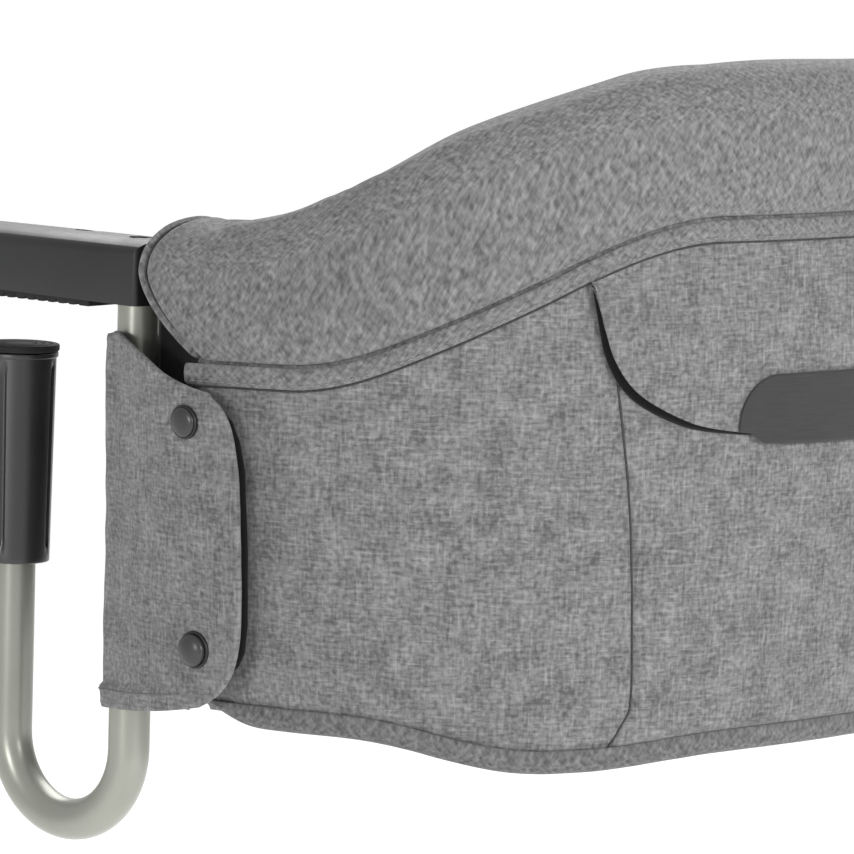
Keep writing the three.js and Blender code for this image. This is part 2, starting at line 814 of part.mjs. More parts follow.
function innerLining() {
  return swept(wallSection(4), wallSteps, (u, v, angle) => {
    const top = seamZ(angle) - seamGap;
    const z = liningBottomZ + (top - liningBottomZ) * v;
    const outer = liningBottomOffset + (liningTopOffset - liningBottomOffset) * v;
    return { offset: outer - (liningThickness + liningBulge * Math.sin(Math.PI * v)) * (1 - u), z };
  }, () => shareAtY(liningFrontY));
}

function pocketPanel() {
  return swept(wallSection(3), 16, (u, v, angle) => {
    const top = seamZ(angle) - pocketTopDrop;
    const bottom = hemZ(angle) + clothGap;
    const z = bottom + (top - bottom) * v;
    return { offset: wallOffset(z, angle) + clothGap + pocketThickness * u, z };
  }, () => shareAtAngle(pocketAngle));
}

// Lower edge of the flap: a quarter ellipse at each end, level between them.
function flapEdgeZ(angle) {
  const top = seamZ(angle) - seamTapeHeight - 2 * clothGap;
  const run = Math.min(1, Math.max(0, (foldedAngle(angle) - flapAngle) / flapCurveAngle));
  const level = seamZ(flapAngle) - seamTapeHeight - flapDrop;
  const reach = top - level;
  return top - Math.max(flapLeastHeight, reach * Math.sqrt(1 - (1 - run) ** 2));
}

const flapInnerOffset = (z, angle) => wallOffset(z, angle) + 2 * clothGap + pocketThickness;

function pocketFlap() {
  const from = shareAtAngle(flapAngle);
  const geometry = new THREE.ExtrudeGeometry(wallSection(3), { depth: 1, steps: 24, bevelEnabled: false });
  return mapped(geometry, (point) => {
    const { x: u, y: v, z: w } = point;
    const eased = 0.5 - 0.5 * Math.cos(Math.PI * w);
    const share = from + (1 - 2 * from) * eased;
    const angle = angleAtShare(share);
    const top = seamZ(angle) - seamTapeHeight - 2 * clothGap;
    const bottom = flapEdgeZ(angle);
    const z = bottom + (top - bottom) * v;
    point.copy(planPoint(share, flapInnerOffset(z, angle) + flapThickness * u)).setZ(z);
  });
}

function flapPatch() {
  return swept(wallSection(1), 10, (u, v, angle) => {
    const bottom = flapEdgeZ(angle) + clothGap;
    const z = bottom + (patchTopZ - bottom) * v;
    return { offset: flapInnerOffset(z, angle) + flapThickness + clothGap + patchThickness * u, z };
  }, () => shareAtAngle(patchAngle));
}

// Seat base.

function baseOutline(offset) {
  const points = [];
  const from = shareAtY(baseFrontY);
  for (let step = 0; step <= baseOutlineSteps; step += 1) {
    const share = from + (1 - 2 * from) * (step / baseOutlineSteps);
    const point = planPoint(share, offset);
    points.push([point.x, point.y]);
  }
  return points;
}

// Distance from the base's centre to its outline, in a direction.
function outlineReach(points, directionX, directionY) {
  for (let i = 0; i < points.length; i += 1) {
    const [ax, ay] = points[i];
    const [bx, by] = points[(i + 1) % points.length];
    const edgeX = bx - ax;
    const edgeY = by - ay;
    const cross = directionX * edgeY - directionY * edgeX;
    if (Math.abs(cross) < 1e-9) continue;
    const towardX = ax;
    const towardY = ay - baseCentreY;
    const reach = (towardX * edgeY - towardY * edgeX) / cross;
    const along = (towardX * directionY - towardY * directionX) / cross;
    if (reach > 0 && along >= -1e-9 && along <= 1 + 1e-9) return reach;
  }
  return 0;
}

const cushionOutline = baseOutline(baseOffset - liningThickness);

// Height of the cushion's crown above its edge at a plan point.
function crownAt(x, y) {
  const distance = Math.hypot(x, y - baseCentreY);
  if (distance < 1e-6) return cushionCrown;
  const reach = outlineReach(cushionOutline, x / distance, (y - baseCentreY) / distance);
  const share = Math.min(1, distance / reach);
  return cushionCrown * (1 - share ** 2);
}

function baseCushion() {
  const height = cushionThickness;
  const profile = [new THREE.Vector2(0, 0), new THREE.Vector2(1, 0)];
  for (const [share, level] of cushionProfileShares) profile.push(new THREE.Vector2(share, level * height));
  const turned = new THREE.LatheGeometry(profile, cushionSegments);
  turned.rotateX(Math.PI / 2);
  return mapped(turned, (point) => {
    const distance = Math.hypot(point.x, point.y);
    if (distance < 1e-6) {
      point.set(0, baseCentreY, cushionZ + point.z + (point.z > 0 ? cushionCrown : 0));
      return;
    }
    const reach = outlineReach(cushionOutline, point.x / distance, point.y / distance);
    const lift = point.z > 0 ? cushionCrown * (1 - distance ** 2) : 0;
    point.set(point.x * reach, baseCentreY + point.y * reach, cushionZ + point.z + lift);
  });
}

function frontPanel() {
  const ends = planPoint(shareAtY(panelFrontY + panelThickness), liningBottomOffset).x
    - liningThickness - bandEndGap;
  const waistZ = (legArchZ + liningBottomZ) / 2;
  const flareZ = liningBottomZ + crotchFlareHeight;
  const shape = new THREE.Shape();
  shape.moveTo(-ends, bandEndTopZ);
  shape.lineTo(-ends, bandEndBottomZ);
  shape.quadraticCurveTo(-crotchTopHalfWidth, legArchZ, -crotchWaistHalfWidth, waistZ);
  shape.quadraticCurveTo(-crotchWaistHalfWidth, flareZ, -crotchBottomHalfWidth, liningBottomZ);
  shape.lineTo(crotchBottomHalfWidth, liningBottomZ);
  shape.quadraticCurveTo(crotchWaistHalfWidth, flareZ, crotchWaistHalfWidth, waistZ);
  shape.quadraticCurveTo(crotchTopHalfWidth, legArchZ, ends, bandEndBottomZ);
  shape.lineTo(ends, bandEndTopZ);
  shape.quadraticCurveTo(0, 2 * bandMiddleTopZ - bandEndTopZ, -ends, bandEndTopZ);
  return alongY(shape, panelFrontY, panelFrontY + panelThickness, 8);
}

// Post wrap, drawn at the post axis of the +X side.
function wrapPlan() {
  const inner = tubeRadius + wrapClearance;
  const outer = inner + wrapThickness;
  const flapX = wallTopOffset + wallBulge + wrapStandOff;
  const points = [];
  points.push([-inner, wrapInnerRearY], [-outer, wrapInnerRearY]);
  for (let i = 0; i <= wrapTurnSides; i += 1) {
    const angle = Math.PI + (Math.PI * i) / wrapTurnSides;
    points.push([outer * Math.cos(angle), outer * Math.sin(angle)]);
  }
  points.push([flapX + wrapThickness, socketRearY / 2], [flapX + wrapThickness, wrapOuterRearY]);
  points.push([flapX, wrapOuterRearY], [flapX, socketRearY / 2]);
  for (let i = wrapTurnSides; i >= 0; i -= 1) {
    const angle = Math.PI + (Math.PI * i) / wrapTurnSides;
    points.push([inner * Math.cos(angle), inner * Math.sin(angle)]);
  }
  return outlineOf(points);
}

function wrapOutline() {
  const shape = new THREE.Shape();
  const frontY = -tubeRadius - wrapClearance - wrapThickness - overrun;
  shape.moveTo(frontY, wrapTopZ);
  shape.lineTo(0, wrapTopZ);
  shape.quadraticCurveTo(wrapInnerRearY, (wrapTopZ + wrapTopRearZ) / 2, 2 * wrapInnerRearY, wrapTopRearZ);
  shape.quadraticCurveTo(wrapOuterRearY, wrapTopRearZ, wrapOuterRearY, wrapTopRearZ - wrapTopCornerDrop);
  shape.lineTo(wrapOuterRearY, wrapBottomRearZ + wrapCornerRadius);
  const cornerY = wrapOuterRearY - wrapCornerRadius;
  shape.quadraticCurveTo(wrapOuterRearY, wrapBottomRearZ, cornerY, wrapBottomRearZ);
  shape.lineTo(wrapInnerRearY, wrapBottomZ);
  shape.lineTo(frontY, wrapBottomZ);
  return shape;
}

// The flap leans in with the seat wall as it goes down.
function wrapLean(y, z) {
  const depth = Math.min(1, Math.max(0, y / (socketRearY / 2)));
  const down = Math.min(1, Math.max(0, (seamFrontZ - z) / (seamFrontZ - wrapBottomZ)));
  return (wallTopOffset - wallBottomOffset) * wrapLeanShare * depth * down;
}

function postWrap() {
  const height = wrapTopZ - wrapBottomZ + 2 * overrun;
  const settings = { depth: height, steps: wrapHeightSteps, bevelEnabled: false };
  const sheet = new THREE.ExtrudeGeometry(wrapPlan(), settings);
  sheet.translate(0, 0, wrapBottomZ - overrun);
  const leaned = mapped(sheet, (point) => {
    if (point.x > 0) point.x -= wrapLean(point.y, point.z);
  });
  return common(leaned, alongX(wrapOutline(), -2 * coverHalfWidth, 2 * coverHalfWidth));
}

function snapCap(z) {
  const seatX = wallTopOffset + wallBulge + wrapStandOff + wrapThickness - wrapLean(snapY, z) + clothGap;
  const profile = snapProfileShares.map(([r, h]) => new THREE.Vector2(r * snapRadius, h * snapDome));
  const cap = new THREE.LatheGeometry(profile, 16);
  cap.rotateZ(-Math.PI / 2);
  cap.rotateY(wrapTilt());
  cap.translate(seatX, snapY, z);
  return welded(cap);
}

// Angle by which the leaning flap turns its face downward.
function wrapTilt() {
  return Math.atan(((wallTopOffset - wallBottomOffset) * wrapLeanShare) / (seamFrontZ - wrapBottomZ));
}

// Harness.

function onCushion(geometry) {
  return mapped(geometry, (point) => {
    point.z += crownAt(point.x, point.y);
  });
}

const strapZ = cushionZ + cushionThickness + clothGap;

function lapStrap() {
  const startX = buckleHalfLength + tonguePlateLength - tongueInsert + fitGap;
  const rows = 12;
  const endX = railHalfWidthAt(strapCentreY + strapWidth / 2) - lapStrapEndGap;
  const strapLift = (x) => lapStrapEndLift * smooth(1 - (endX - x) / lapStrapRiseLength);
  const lower = [];
  const upper = [];
  for (let row = 0; row <= rows; row += 1) {
    const x = startX + ((endX - startX) * row) / rows;
    lower.push([x, strapZ + strapLift(x)]);
    upper.unshift([x, strapZ + strapLift(x) + strapThickness]);
  }
  const outline = outlineOf([...lower, ...upper]);
  return onCushion(alongY(outline, strapCentreY - strapWidth / 2, strapCentreY + strapWidth / 2));
}

function crotchStrap() {
  const startY = panelFrontY + panelThickness + clothGap;
  const endY = strapCentreY - buckleHalfWidth - fitGap;
  const rows = 5;
  const lower = [];
  const upper = [];
  for (let row = 0; row <= rows; row += 1) {
    const y = startY + ((endY - startY) * row) / rows;
    lower.push([y, strapZ]);
    upper.unshift([y, strapZ + strapThickness]);
  }
  return onCushion(alongX(outlineOf([...lower, ...upper]), -strapWidth / 2, strapWidth / 2));
}

const buckleZ = strapZ + cushionCrown;

function buckleHousing() {
  const shape = new THREE.Shape();
  const x = buckleHalfLength;
  const y = buckleHalfWidth;
  const r = buckleCornerRadius;
  shape.moveTo(-x + r, -y);
  shape.lineTo(x - r, -y);
  shape.quadraticCurveTo(x, -y, x, -y + r);
  shape.lineTo(x, y - r);
  shape.quadraticCurveTo(x, y, x - r, y);
  shape.lineTo(-x + r, y);
  shape.quadraticCurveTo(-x, y, -x, y - r);
  shape.lineTo(-x, -y + r);
  shape.quadraticCurveTo(-x, -y, -x + r, -y);
  const body = raised(shape, buckleZ, buckleZ + buckleHeight, 4);
  body.translate(0, strapCentreY, 0);
  const slots = [-1, 1].map((side) => box(
    Math.min(side * (buckleHalfLength - tongueInsert - fitGap), side * (buckleHalfLength + overrun)),
    Math.max(side * (buckleHalfLength - tongueInsert - fitGap), side * (buckleHalfLength + overrun)),
    strapCentreY - strapWidth / 2 + overrun - fitGap, strapCentreY + strapWidth / 2 - overrun + fitGap,
    buckleZ + tongueSlotHeight - fitGap, buckleZ + tongueSlotHeight + tonguePlateThickness + fitGap,
  ));
  const well = cylinder(
    buckleButtonRadius + fitGap, buckleZ + buckleHeight - buckleButtonHeight - fitGap,
    buckleZ + buckleHeight + overrun, 0, strapCentreY,
  );
  return cut(body, ...slots, well);
}

function buckleButton() {
  const bottomZ = buckleZ + buckleHeight - buckleButtonHeight + buckleButtonTravel;
  return cylinder(buckleButtonRadius, bottomZ, bottomZ + buckleButtonHeight - fitGap, 0, strapCentreY);
}

// Tongue plate, drawn at the +X side, with a slotted end that the lap strap meets.
function buckleTongue() {
  const startX = buckleHalfLength - tongueInsert;
  return box(
    startX, startX + tonguePlateLength,
    strapCentreY - strapWidth / 2 + overrun, strapCentreY + strapWidth / 2 - overrun,
    buckleZ + tongueSlotHeight, buckleZ + tongueSlotHeight + tonguePlateThickness,
  );
}

// The object, piece by piece.

const railEndShare = shareAtY(railEndY);
addPiece('rear_rail', tubeAlong(new RailPath(railEndShare, 1 - railEndShare), railSteps), silverPaint);

for (const [side, sign] of [['right', 1], ['left', -1]]) {
  const hand = (geometry) => (sign > 0 ? welded(geometry) : mirrored(geometry));
  const post = new THREE.Group();
  post.position.x = sign * halfSpacing;
  model.add(post);

  addPiece(`rail_socket_${side}`, hand(railSocket()), blackPlastic, post);
  addPiece(`arm_${side}`, hand(armShell()), charcoal, post);
  addPiece(`arm_screw_${side}`, hand(fixingScrew()), steel, post);
  addPiece(`arm_grip_${side}`, hand(armGrip()), blackRubber, post);
  addPiece(`fold_button_${side}`, hand(foldButton()), blackPlastic, post);
  addPiece(`button_spring_${side}`, hand(buttonSpring()), steel, post);
  addPiece(`latch_bolt_${side}`, hand(latchBolt()), steel, post);
  addPiece(`hook_tube_${side}`, hand(tubeAlong(new HookPath(), hookSteps)), silverPaint, post);
  addPiece(`leg_plug_${side}`, hand(threadedPlug()), blackPlastic, post);
  addPiece(`clamp_sleeve_${side}`, hand(clampSleeve()), blackPlastic, post);
  addPiece(`clamp_pad_${side}`, hand(clampPad()), blackRubber, post);
  addPiece(`post_wrap_${side}`, hand(postWrap()), greyMelange, post);
  addPiece(`snap_upper_${side}`, hand(snapCap(wrapTopZ - snapTopInset)), blackPlastic, post);
  addPiece(`snap_lower_${side}`, hand(snapCap(wrapBottomZ + snapBottomInset)), blackPlastic, post);

  addPiece(`lap_strap_${side}`, hand(lapStrap()), webbing);
  addPiece(`buckle_tongue_${side}`, hand(buckleTongue()), blackPlastic);
}

addPiece('top_cover', topCover(), greyMelange);
addPiece('seat_wall', seatWall(), greyMelange);
addPiece('hem_binding', hemBinding(), greyMelange);
addPiece('seam_tape', seamTape(), greyMelange);
addPiece('inner_lining', innerLining(), darkLining);
addPiece('pocket_panel', pocketPanel(), greyMelange);
addPiece('pocket_flap', pocketFlap(), greyMelange);
addPiece('flap_patch', flapPatch(), darkPatch);
addPiece('bottom_panel', raised(outlineOf(baseOutline(baseOffset)), bottomPanelZ,
  bottomPanelZ + bottomPanelThickness), greyMelange);
addPiece('base_board', raised(outlineOf(baseOutline(baseOffset)), boardZ,
  boardZ + boardThickness), blackPlastic);
addPiece('base_cushion', baseCushion(), darkLining);
addPiece('front_panel', frontPanel(), greyMelange);
addPiece('crotch_strap', crotchStrap(), webbing);
addPiece('buckle_housing', buckleHousing(), blackPlastic);
addPiece('buckle_button', buckleButton(), blackPlastic);

export default model;
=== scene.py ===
import bisect
import math
import re
import bmesh
import bpy
from mathutils import Matrix, Vector, noise
from mathutils.bvhtree import BVHTree


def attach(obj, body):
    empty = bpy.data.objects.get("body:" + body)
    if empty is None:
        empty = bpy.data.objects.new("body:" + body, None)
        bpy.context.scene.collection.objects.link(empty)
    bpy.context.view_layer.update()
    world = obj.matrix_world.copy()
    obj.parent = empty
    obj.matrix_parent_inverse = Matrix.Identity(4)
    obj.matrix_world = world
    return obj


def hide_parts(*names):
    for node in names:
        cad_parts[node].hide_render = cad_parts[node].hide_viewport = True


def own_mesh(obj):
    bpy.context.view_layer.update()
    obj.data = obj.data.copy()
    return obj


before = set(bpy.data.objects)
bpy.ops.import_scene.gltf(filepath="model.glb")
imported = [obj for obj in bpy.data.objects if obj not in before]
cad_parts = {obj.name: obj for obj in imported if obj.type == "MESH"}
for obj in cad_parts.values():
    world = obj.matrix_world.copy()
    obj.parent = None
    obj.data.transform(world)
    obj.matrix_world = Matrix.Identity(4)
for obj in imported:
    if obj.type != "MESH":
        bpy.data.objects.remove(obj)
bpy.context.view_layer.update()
print("frame loaded with", len(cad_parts), "nodes")

# Camera, at the angle of the photograph

cameraView = {
    "azimuthDegrees": 130.96, "elevationDegrees": 6.46, "rollDegrees": 1.59,
    "lensMm": 273.24, "sensorMm": 36.0, "distance": 2.4779,
    "aim": (0.1, 0.1, -0.04), "slideRight": -0.02697, "slideUp": -0.00408,
}


def cameraAxes():
    azimuth = math.radians(cameraView["azimuthDegrees"])
    elevation = math.radians(cameraView["elevationDegrees"])
    roll = math.radians(cameraView["rollDegrees"])
    flat = math.cos(elevation)
    forward = Vector((-math.sin(azimuth) * flat, math.cos(azimuth) * flat, -math.sin(elevation)))
    levelRight = Vector((math.cos(azimuth), math.sin(azimuth), 0))
    levelUp = levelRight.cross(forward)
    right = levelRight * math.cos(roll) + levelUp * math.sin(roll)
    up = levelUp * math.cos(roll) - levelRight * math.sin(roll)
    return right, up, forward


def addCamera():
    right, up, forward = cameraAxes()
    aim = Vector(cameraView["aim"]) + right * cameraView["slideRight"] + up * cameraView["slideUp"]
    lens = bpy.data.cameras.new("photoCamera")
    lens.lens = cameraView["lensMm"]
    lens.sensor_width = cameraView["sensorMm"]
    lens.clip_start = 0.05
    lens.clip_end = 200
    camera = bpy.data.objects.new("photoCamera", lens)
    bpy.context.collection.objects.link(camera)
    turn = Matrix((right, up, -forward)).transposed().to_4x4()
    camera.matrix_world = Matrix.Translation(aim - forward * cameraView["distance"]) @ turn
    bpy.context.scene.camera = camera


addCamera()
print("camera placed")

# Shader helpers: a Signal is a socket that takes part in sums, a Finish is one material


class Signal:
    def __init__(self, finish, socket):
        self.finish = finish
        self.socket = socket

    def join(self, operation, first, second=0.0):
        return self.finish.use("ShaderNodeMath", {"operation": operation}, {0: first, 1: second})

    def __add__(self, other):
        return self.join("ADD", self, other)

    def __radd__(self, other):
        return self.join("ADD", other, self)

    def __sub__(self, other):
        return self.join("SUBTRACT", self, other)

    def __rsub__(self, other):
        return self.join("SUBTRACT", other, self)

    def __mul__(self, other):
        return self.join("MULTIPLY", self, other)

    def __rmul__(self, other):
        return self.join("MULTIPLY", other, self)

    def sine(self):
        return self.join("SINE", self)

    def above(self, level):
        return self.join("GREATER_THAN", self, level)

    def also(self, name):
        return Signal(self.finish, self.socket.node.outputs[name])


class Finish:
    def __init__(self, name):
        self.material = bpy.data.materials.new(name)
        self.material.use_nodes = True
        self.tree = self.material.node_tree
        self.shader = self.tree.nodes["Principled BSDF"]

    def use(self, kind, settings=None, inputs=None, output=0):
        node = self.tree.nodes.new(kind)
        for key, value in (settings or {}).items():
            if key == "stops":
                self.setStops(node, value)
            else:
                setattr(node, key, value)
        for key, value in (inputs or {}).items():
            self.feed(node.inputs[key], value)
        return Signal(self, node.outputs[output])

    def feed(self, socket, value):
        if isinstance(value, Signal):
            self.tree.links.new(value.socket, socket)
        elif hasattr(socket.default_value, "__len__") and len(socket.default_value) == 4:
            socket.default_value = (*value, 1.0) if len(value) == 3 else value
        else:
            socket.default_value = value

    def setStops(self, node, stops):
        ramp = node.color_ramp
        while len(ramp.elements) < len(stops):
            ramp.elements.new(0.5)
        for element, (place, colour) in zip(ramp.elements, stops):
            element.position = place
            element.color = (*colour, 1.0)

    def objectPlace(self):
        return self.use("ShaderNodeTexCoord", None, None, "Object")

    def vector(self, x, y, z=0.0):
        return self.use("ShaderNodeCombineXYZ", None, {0: x, 1: y, 2: z})

    def noise(self, vector, scale=1.0, detail=2.0, roughness=0.5):
        inputs = {"Vector": vector, "Scale": scale, "Detail": detail, "Roughness": roughness}
        return self.use("ShaderNodeTexNoise", None, inputs, "Fac")

    def ramp(self, value, stops):
        return self.use("ShaderNodeValToRGB", {"stops": stops}, {0: value})

    def bump(self, height, strength, distance):
        inputs = {"Strength": strength, "Distance": distance, "Height": height}
        return self.use("ShaderNodeBump", None, inputs)

    def set(self, **values):
        for key, value in values.items():
            self.feed(self.shader.inputs[self.socketName(key)], value)

    def socketName(self, key):
        words = re.sub(r"(?<=[a-z])(?=[A-Z])|(?<=[A-Z])(?=[A-Z][a-z])", " ", key)
        return words[0].upper() + words[1:]


def grey(level):
    return (level, level, level)


# Fabric finishes

melangeLook = {
    "threadPitch": 0.00052, "streakLength": 0.0060, "streakWidth": 0.00115, "slubLength": 0.012,
    "grainSize": 0.0018, "mottleSize": 0.013,
    "dark": (0.059, 0.059, 0.060), "mid": (0.117, 0.117, 0.117), "light": (0.200, 0.200, 0.200),
    "streakShare": 0.54, "grainShare": 0.86, "slubShare": 0.13, "mottleShare": 0.52,
    "slubLevel": 0.66, "slubRiseLevel": 0.67, "darkPlace": 0.22, "lightPlace": 0.85, "weaveHeight": 0.22,
    "roughness": 0.96, "sheen": 0.12, "bumpStrength": 0.22, "bumpDistance": 0.0003,
}


def clothCoordinates(finish, source, diagonal=False):
    if source == "cloth":
        place = finish.use("ShaderNodeUVMap", {"uv_map": "cloth"})
    else:
        place = finish.objectPlace()
    split = finish.use("ShaderNodeSeparateXYZ", None, {0: place})
    across = {"cloth": ("X", "Y"), "plan": ("X", "Y"), "front": ("X", "Z")}[source]
    u = split.also(across[0])
    v = split.also(across[1])
    if diagonal:
        half = math.sqrt(0.5)
        return (u + v) * half, (v - u) * half
    return u, v


def melangeFabric(name, source="cloth", diagonal=False, shade=1.0, look=melangeLook):
    finish = Finish(name)
    u, v = clothCoordinates(finish, source, diagonal)
    long = 1 / look["streakLength"]
    thin = 1 / look["streakWidth"]
    weft = finish.noise(finish.vector(u * long, v * thin), detail=1)
    warp = finish.noise(finish.vector(u * thin, v * long, 7.3), detail=1)
    grain = finish.noise(finish.vector(u, v), 1 / look["grainSize"], 2)
    mottle = finish.noise(finish.vector(u, v), 1 / look["mottleSize"], 3)
    slubLong = 1 / look["slubLength"]
    slubs = finish.noise(finish.vector(u * slubLong, v * thin, 3.1), detail=1)
    slubRise = finish.noise(finish.vector(u * thin, v * slubLong, 5.7), detail=1)
    tone = 0.5 + (weft + warp - 1) * look["streakShare"]
    tone = tone + (grain - 0.5) * look["grainShare"] + (mottle - 0.5) * look["mottleShare"]
    knots = slubs.above(look["slubLevel"]) + slubRise.above(look["slubRiseLevel"])
    tone = tone + knots * look["slubShare"]
    dark, mid, light = (tuple(level * shade for level in look[key]) for key in ("dark", "mid", "light"))
    colour = finish.ramp(tone, [(look["darkPlace"], dark), (0.5, mid), (look["lightPlace"], light)])
    turn = 2 * math.pi / look["threadPitch"]
    weave = (u * turn).sine() * (v * turn).sine()
    height = weave * look["weaveHeight"] + tone
    finish.set(
        baseColor=colour, roughness=look["roughness"], sheenWeight=look["sheen"], sheenRoughness=0.6,
        specularIORLevel=0.2, normal=finish.bump(height, look["bumpStrength"], look["bumpDistance"]),
    )
    return finish.material


weaveLook = {"wearScale": 60, "threadShort": 90, "threadLong": 1400, "weave": 0.18, "wear": 0.5,
             "threads": 0.8}


def plainWeave(name, source, colours, pitch, roughness=0.9, strength=0.6, look=weaveLook):
    finish = Finish(name)
    u, v = clothCoordinates(finish, source)
    turn = 2 * math.pi / pitch
    weave = (u * turn).sine() * (v * turn).sine()
    wear = finish.noise(finish.vector(u, v), look["wearScale"], 4)
    threads = finish.noise(finish.vector(u * look["threadShort"], v * look["threadLong"]), detail=2)
    tone = 0.5 + weave * look["weave"] + (wear - 0.5) * look["wear"] + (threads - 0.5) * look["threads"]
    finish.set(
        baseColor=finish.ramp(tone, [(0.2, colours[0]), (0.8, colours[1])]), roughness=roughness,
        specularIORLevel=0.25, sheenWeight=0.15,
        normal=finish.bump(weave + (threads - 0.5), strength, pitch / 3),
    )
    return finish.material


webbingLook = {"ribPitch": 0.0021, "edgePitch": 0.0042, "twistPitch": 0.0012, "frayScale": 900,
               "dark": 0.010, "light": 0.040}


def ribbedWebbing(name, look=webbingLook):
    finish = Finish(name)
    u, v = clothCoordinates(finish, "cloth")
    ribs = (u * (2 * math.pi / look["ribPitch"])).sine()
    edge = (v * (2 * math.pi / look["edgePitch"])).sine()
    twist = ((u + v) * (2 * math.pi / look["twistPitch"])).sine()
    fray = finish.noise(finish.vector(u, v), look["frayScale"], 3)
    tone = 0.5 + ribs * 0.2 + twist * 0.1 + edge * 0.1 + (fray - 0.5) * 0.6
    finish.set(
        baseColor=finish.ramp(tone, [(0.15, grey(look["dark"])), (0.85, grey(look["light"]))]), roughness=0.8,
        specularIORLevel=0.3, sheenWeight=0.2,
        normal=finish.bump(ribs + twist * 0.4 + fray * 0.5, 0.7, 0.0003),
    )
    return finish.material


def sewingThread(name, dark, light):
    finish = Finish(name)
    place = finish.objectPlace()
    twist = finish.use(
        "ShaderNodeTexWave", {"bands_direction": "DIAGONAL"},
        {"Vector": place, "Scale": 900.0, "Distortion": 0.4},
    )
    uneven = finish.noise(place, 700, 2)
    finish.set(
        baseColor=finish.ramp(uneven, [(0.3, dark), (0.7, light)]), roughness=0.7,
        specularIORLevel=0.3, normal=finish.bump(twist, 0.5, 0.0001),
    )
    return finish.material


# Hard finishes

def mouldedPlastic(name, colour, roughness, grainDepth=0.25, shine=0.35, grainSize=0.0006, wear=0.25):
    finish = Finish(name)
    place = finish.objectPlace()
    grain = finish.noise(place, 1 / grainSize, 4, 0.6)
    cloud = finish.noise(place, 22, 4)
    rub = finish.noise(place, 160, 3)
    lighter = tuple(min(1.0, level * 1.28) for level in colour)
    darker = tuple(level * 0.86 for level in colour)
    finish.set(
        baseColor=finish.ramp(cloud, [(0.3, darker), (0.72, lighter)]),
        roughness=roughness + (cloud - 0.5) * wear + (rub - 0.5) * 0.12,
        specularIORLevel=shine, normal=finish.bump(grain, grainDepth, 0.00012),
    )
    return finish.material


paintLook = {"dark": (0.225, 0.229, 0.199), "light": (0.290, 0.295, 0.260), "metallic": 0.55,
             "roughness": 0.34, "peelScale": 420, "flakeScale": 5200, "cloudScale": 18, "flakeShare": 0.4}


def satinPaint(name, look=paintLook):
    finish = Finish(name)
    place = finish.objectPlace()
    peel = finish.noise(place, look["peelScale"], 3)
    flake = finish.noise(place, look["flakeScale"], 1)
    cloud = finish.noise(place, look["cloudScale"], 3)
    tone = cloud * (1 - look["flakeShare"]) + flake * look["flakeShare"]
    finish.set(
        baseColor=finish.ramp(tone, [(0.3, look["dark"]), (0.7, look["light"])]),
        metallic=look["metallic"], roughness=look["roughness"] + (peel - 0.5) * 0.12, specularIORLevel=0.25,
        normal=finish.bump(peel, 0.12, 0.0001),
    )
    return finish.material


def gripRubber(name):
    finish = Finish(name)
    place = finish.objectPlace()
    grain = finish.noise(place, 2400, 4, 0.7)
    dust = finish.noise(place, 70, 4)
    finish.set(
        baseColor=finish.ramp(dust, [(0.35, grey(0.006)), (0.8, grey(0.019))]),
        roughness=0.82 + (dust - 0.5) * 0.2, specularIORLevel=0.3,
        normal=finish.bump(grain, 0.45, 0.0001),
    )
    return finish.material


def brushedSteel(name):
    finish = Finish(name)
    place = finish.objectPlace()
    split = finish.use("ShaderNodeSeparateXYZ", None, {0: place})
    lines = finish.noise(finish.vector(split.also("X") * 9000, split.also("Y") * 9000, split.also("Z") * 300))
    stain = finish.noise(place, 200, 3)
    finish.set(
        baseColor=finish.ramp(stain, [(0.3, (0.42, 0.42, 0.43)), (0.75, (0.62, 0.62, 0.63))]),
        metallic=1.0, roughness=0.28 + (lines - 0.5) * 0.2, normal=finish.bump(lines, 0.15, 0.00005),
    )
    return finish.material


fabric = melangeFabric("greyMelange")
biasLook = {
    **melangeLook, "streakLength": 0.0032, "slubLength": 0.005, "slubShare": 0.05, "mottleShare": 0.24,
    "mottleSize": 0.008,
}
biasFabric = melangeFabric("greyMelangeBias", diagonal=True, look=biasLook)
# The hem's cloth is darkened to 0.78 as painted shade along the seat's lower edge
shadedHemFabric = melangeFabric("hemMelangeShaded", diagonal=True, shade=0.78, look=biasLook)
frontFabric = melangeFabric("frontMelange", source="front")
underFabric = melangeFabric("underMelange", source="plan", shade=0.8)
liningFabric = plainWeave("liningWeave", "cloth", (grey(0.030), grey(0.075)), 0.0009)
cushionFabric = plainWeave("cushionWeave", "plan", (grey(0.030), grey(0.078)), 0.0009)
# Near-black cloth: the gussets' own black, painted shade in their gap, and the painted shadows beside the
# wraps and the flap
blackGusset = plainWeave("blackGusset", "cloth", (grey(0.0015), grey(0.0055)), 0.0011, 0.95, 0.3)
patchFabric = plainWeave("patchWeave", "cloth", (grey(0.017), grey(0.029)), 0.0005, 0.75, 0.25)
webbing = ribbedWebbing("webbing")
# Dark thread for real stitches, and for seam lines that also paint the shade in seam grooves
darkThreadAndSeamShade = sewingThread("darkThreadAndSeamShade", grey(0.018), grey(0.045))
greyThread = sewingThread("greyThread", grey(0.130), grey(0.200))
paleThread = sewingThread("paleThread", grey(0.085), grey(0.140))
armPlastic = mouldedPlastic("armPlastic", (0.012, 0.0122, 0.0126), 0.46)
sleevePlastic = mouldedPlastic("sleevePlastic", (0.0065, 0.0065, 0.0068), 0.34, shine=0.65)
blackPlastic = mouldedPlastic("blackPlastic", (0.007, 0.007, 0.0073), 0.42)
snapPlastic = mouldedPlastic("snapPlastic", (0.024, 0.024, 0.025), 0.28, grainDepth=0.1)
rubber = gripRubber("rubber")
paint = satinPaint("satinPaint")
steel = brushedSteel("steel")
print("finishes made")

# The course of the rail in plan, and the heights that follow it

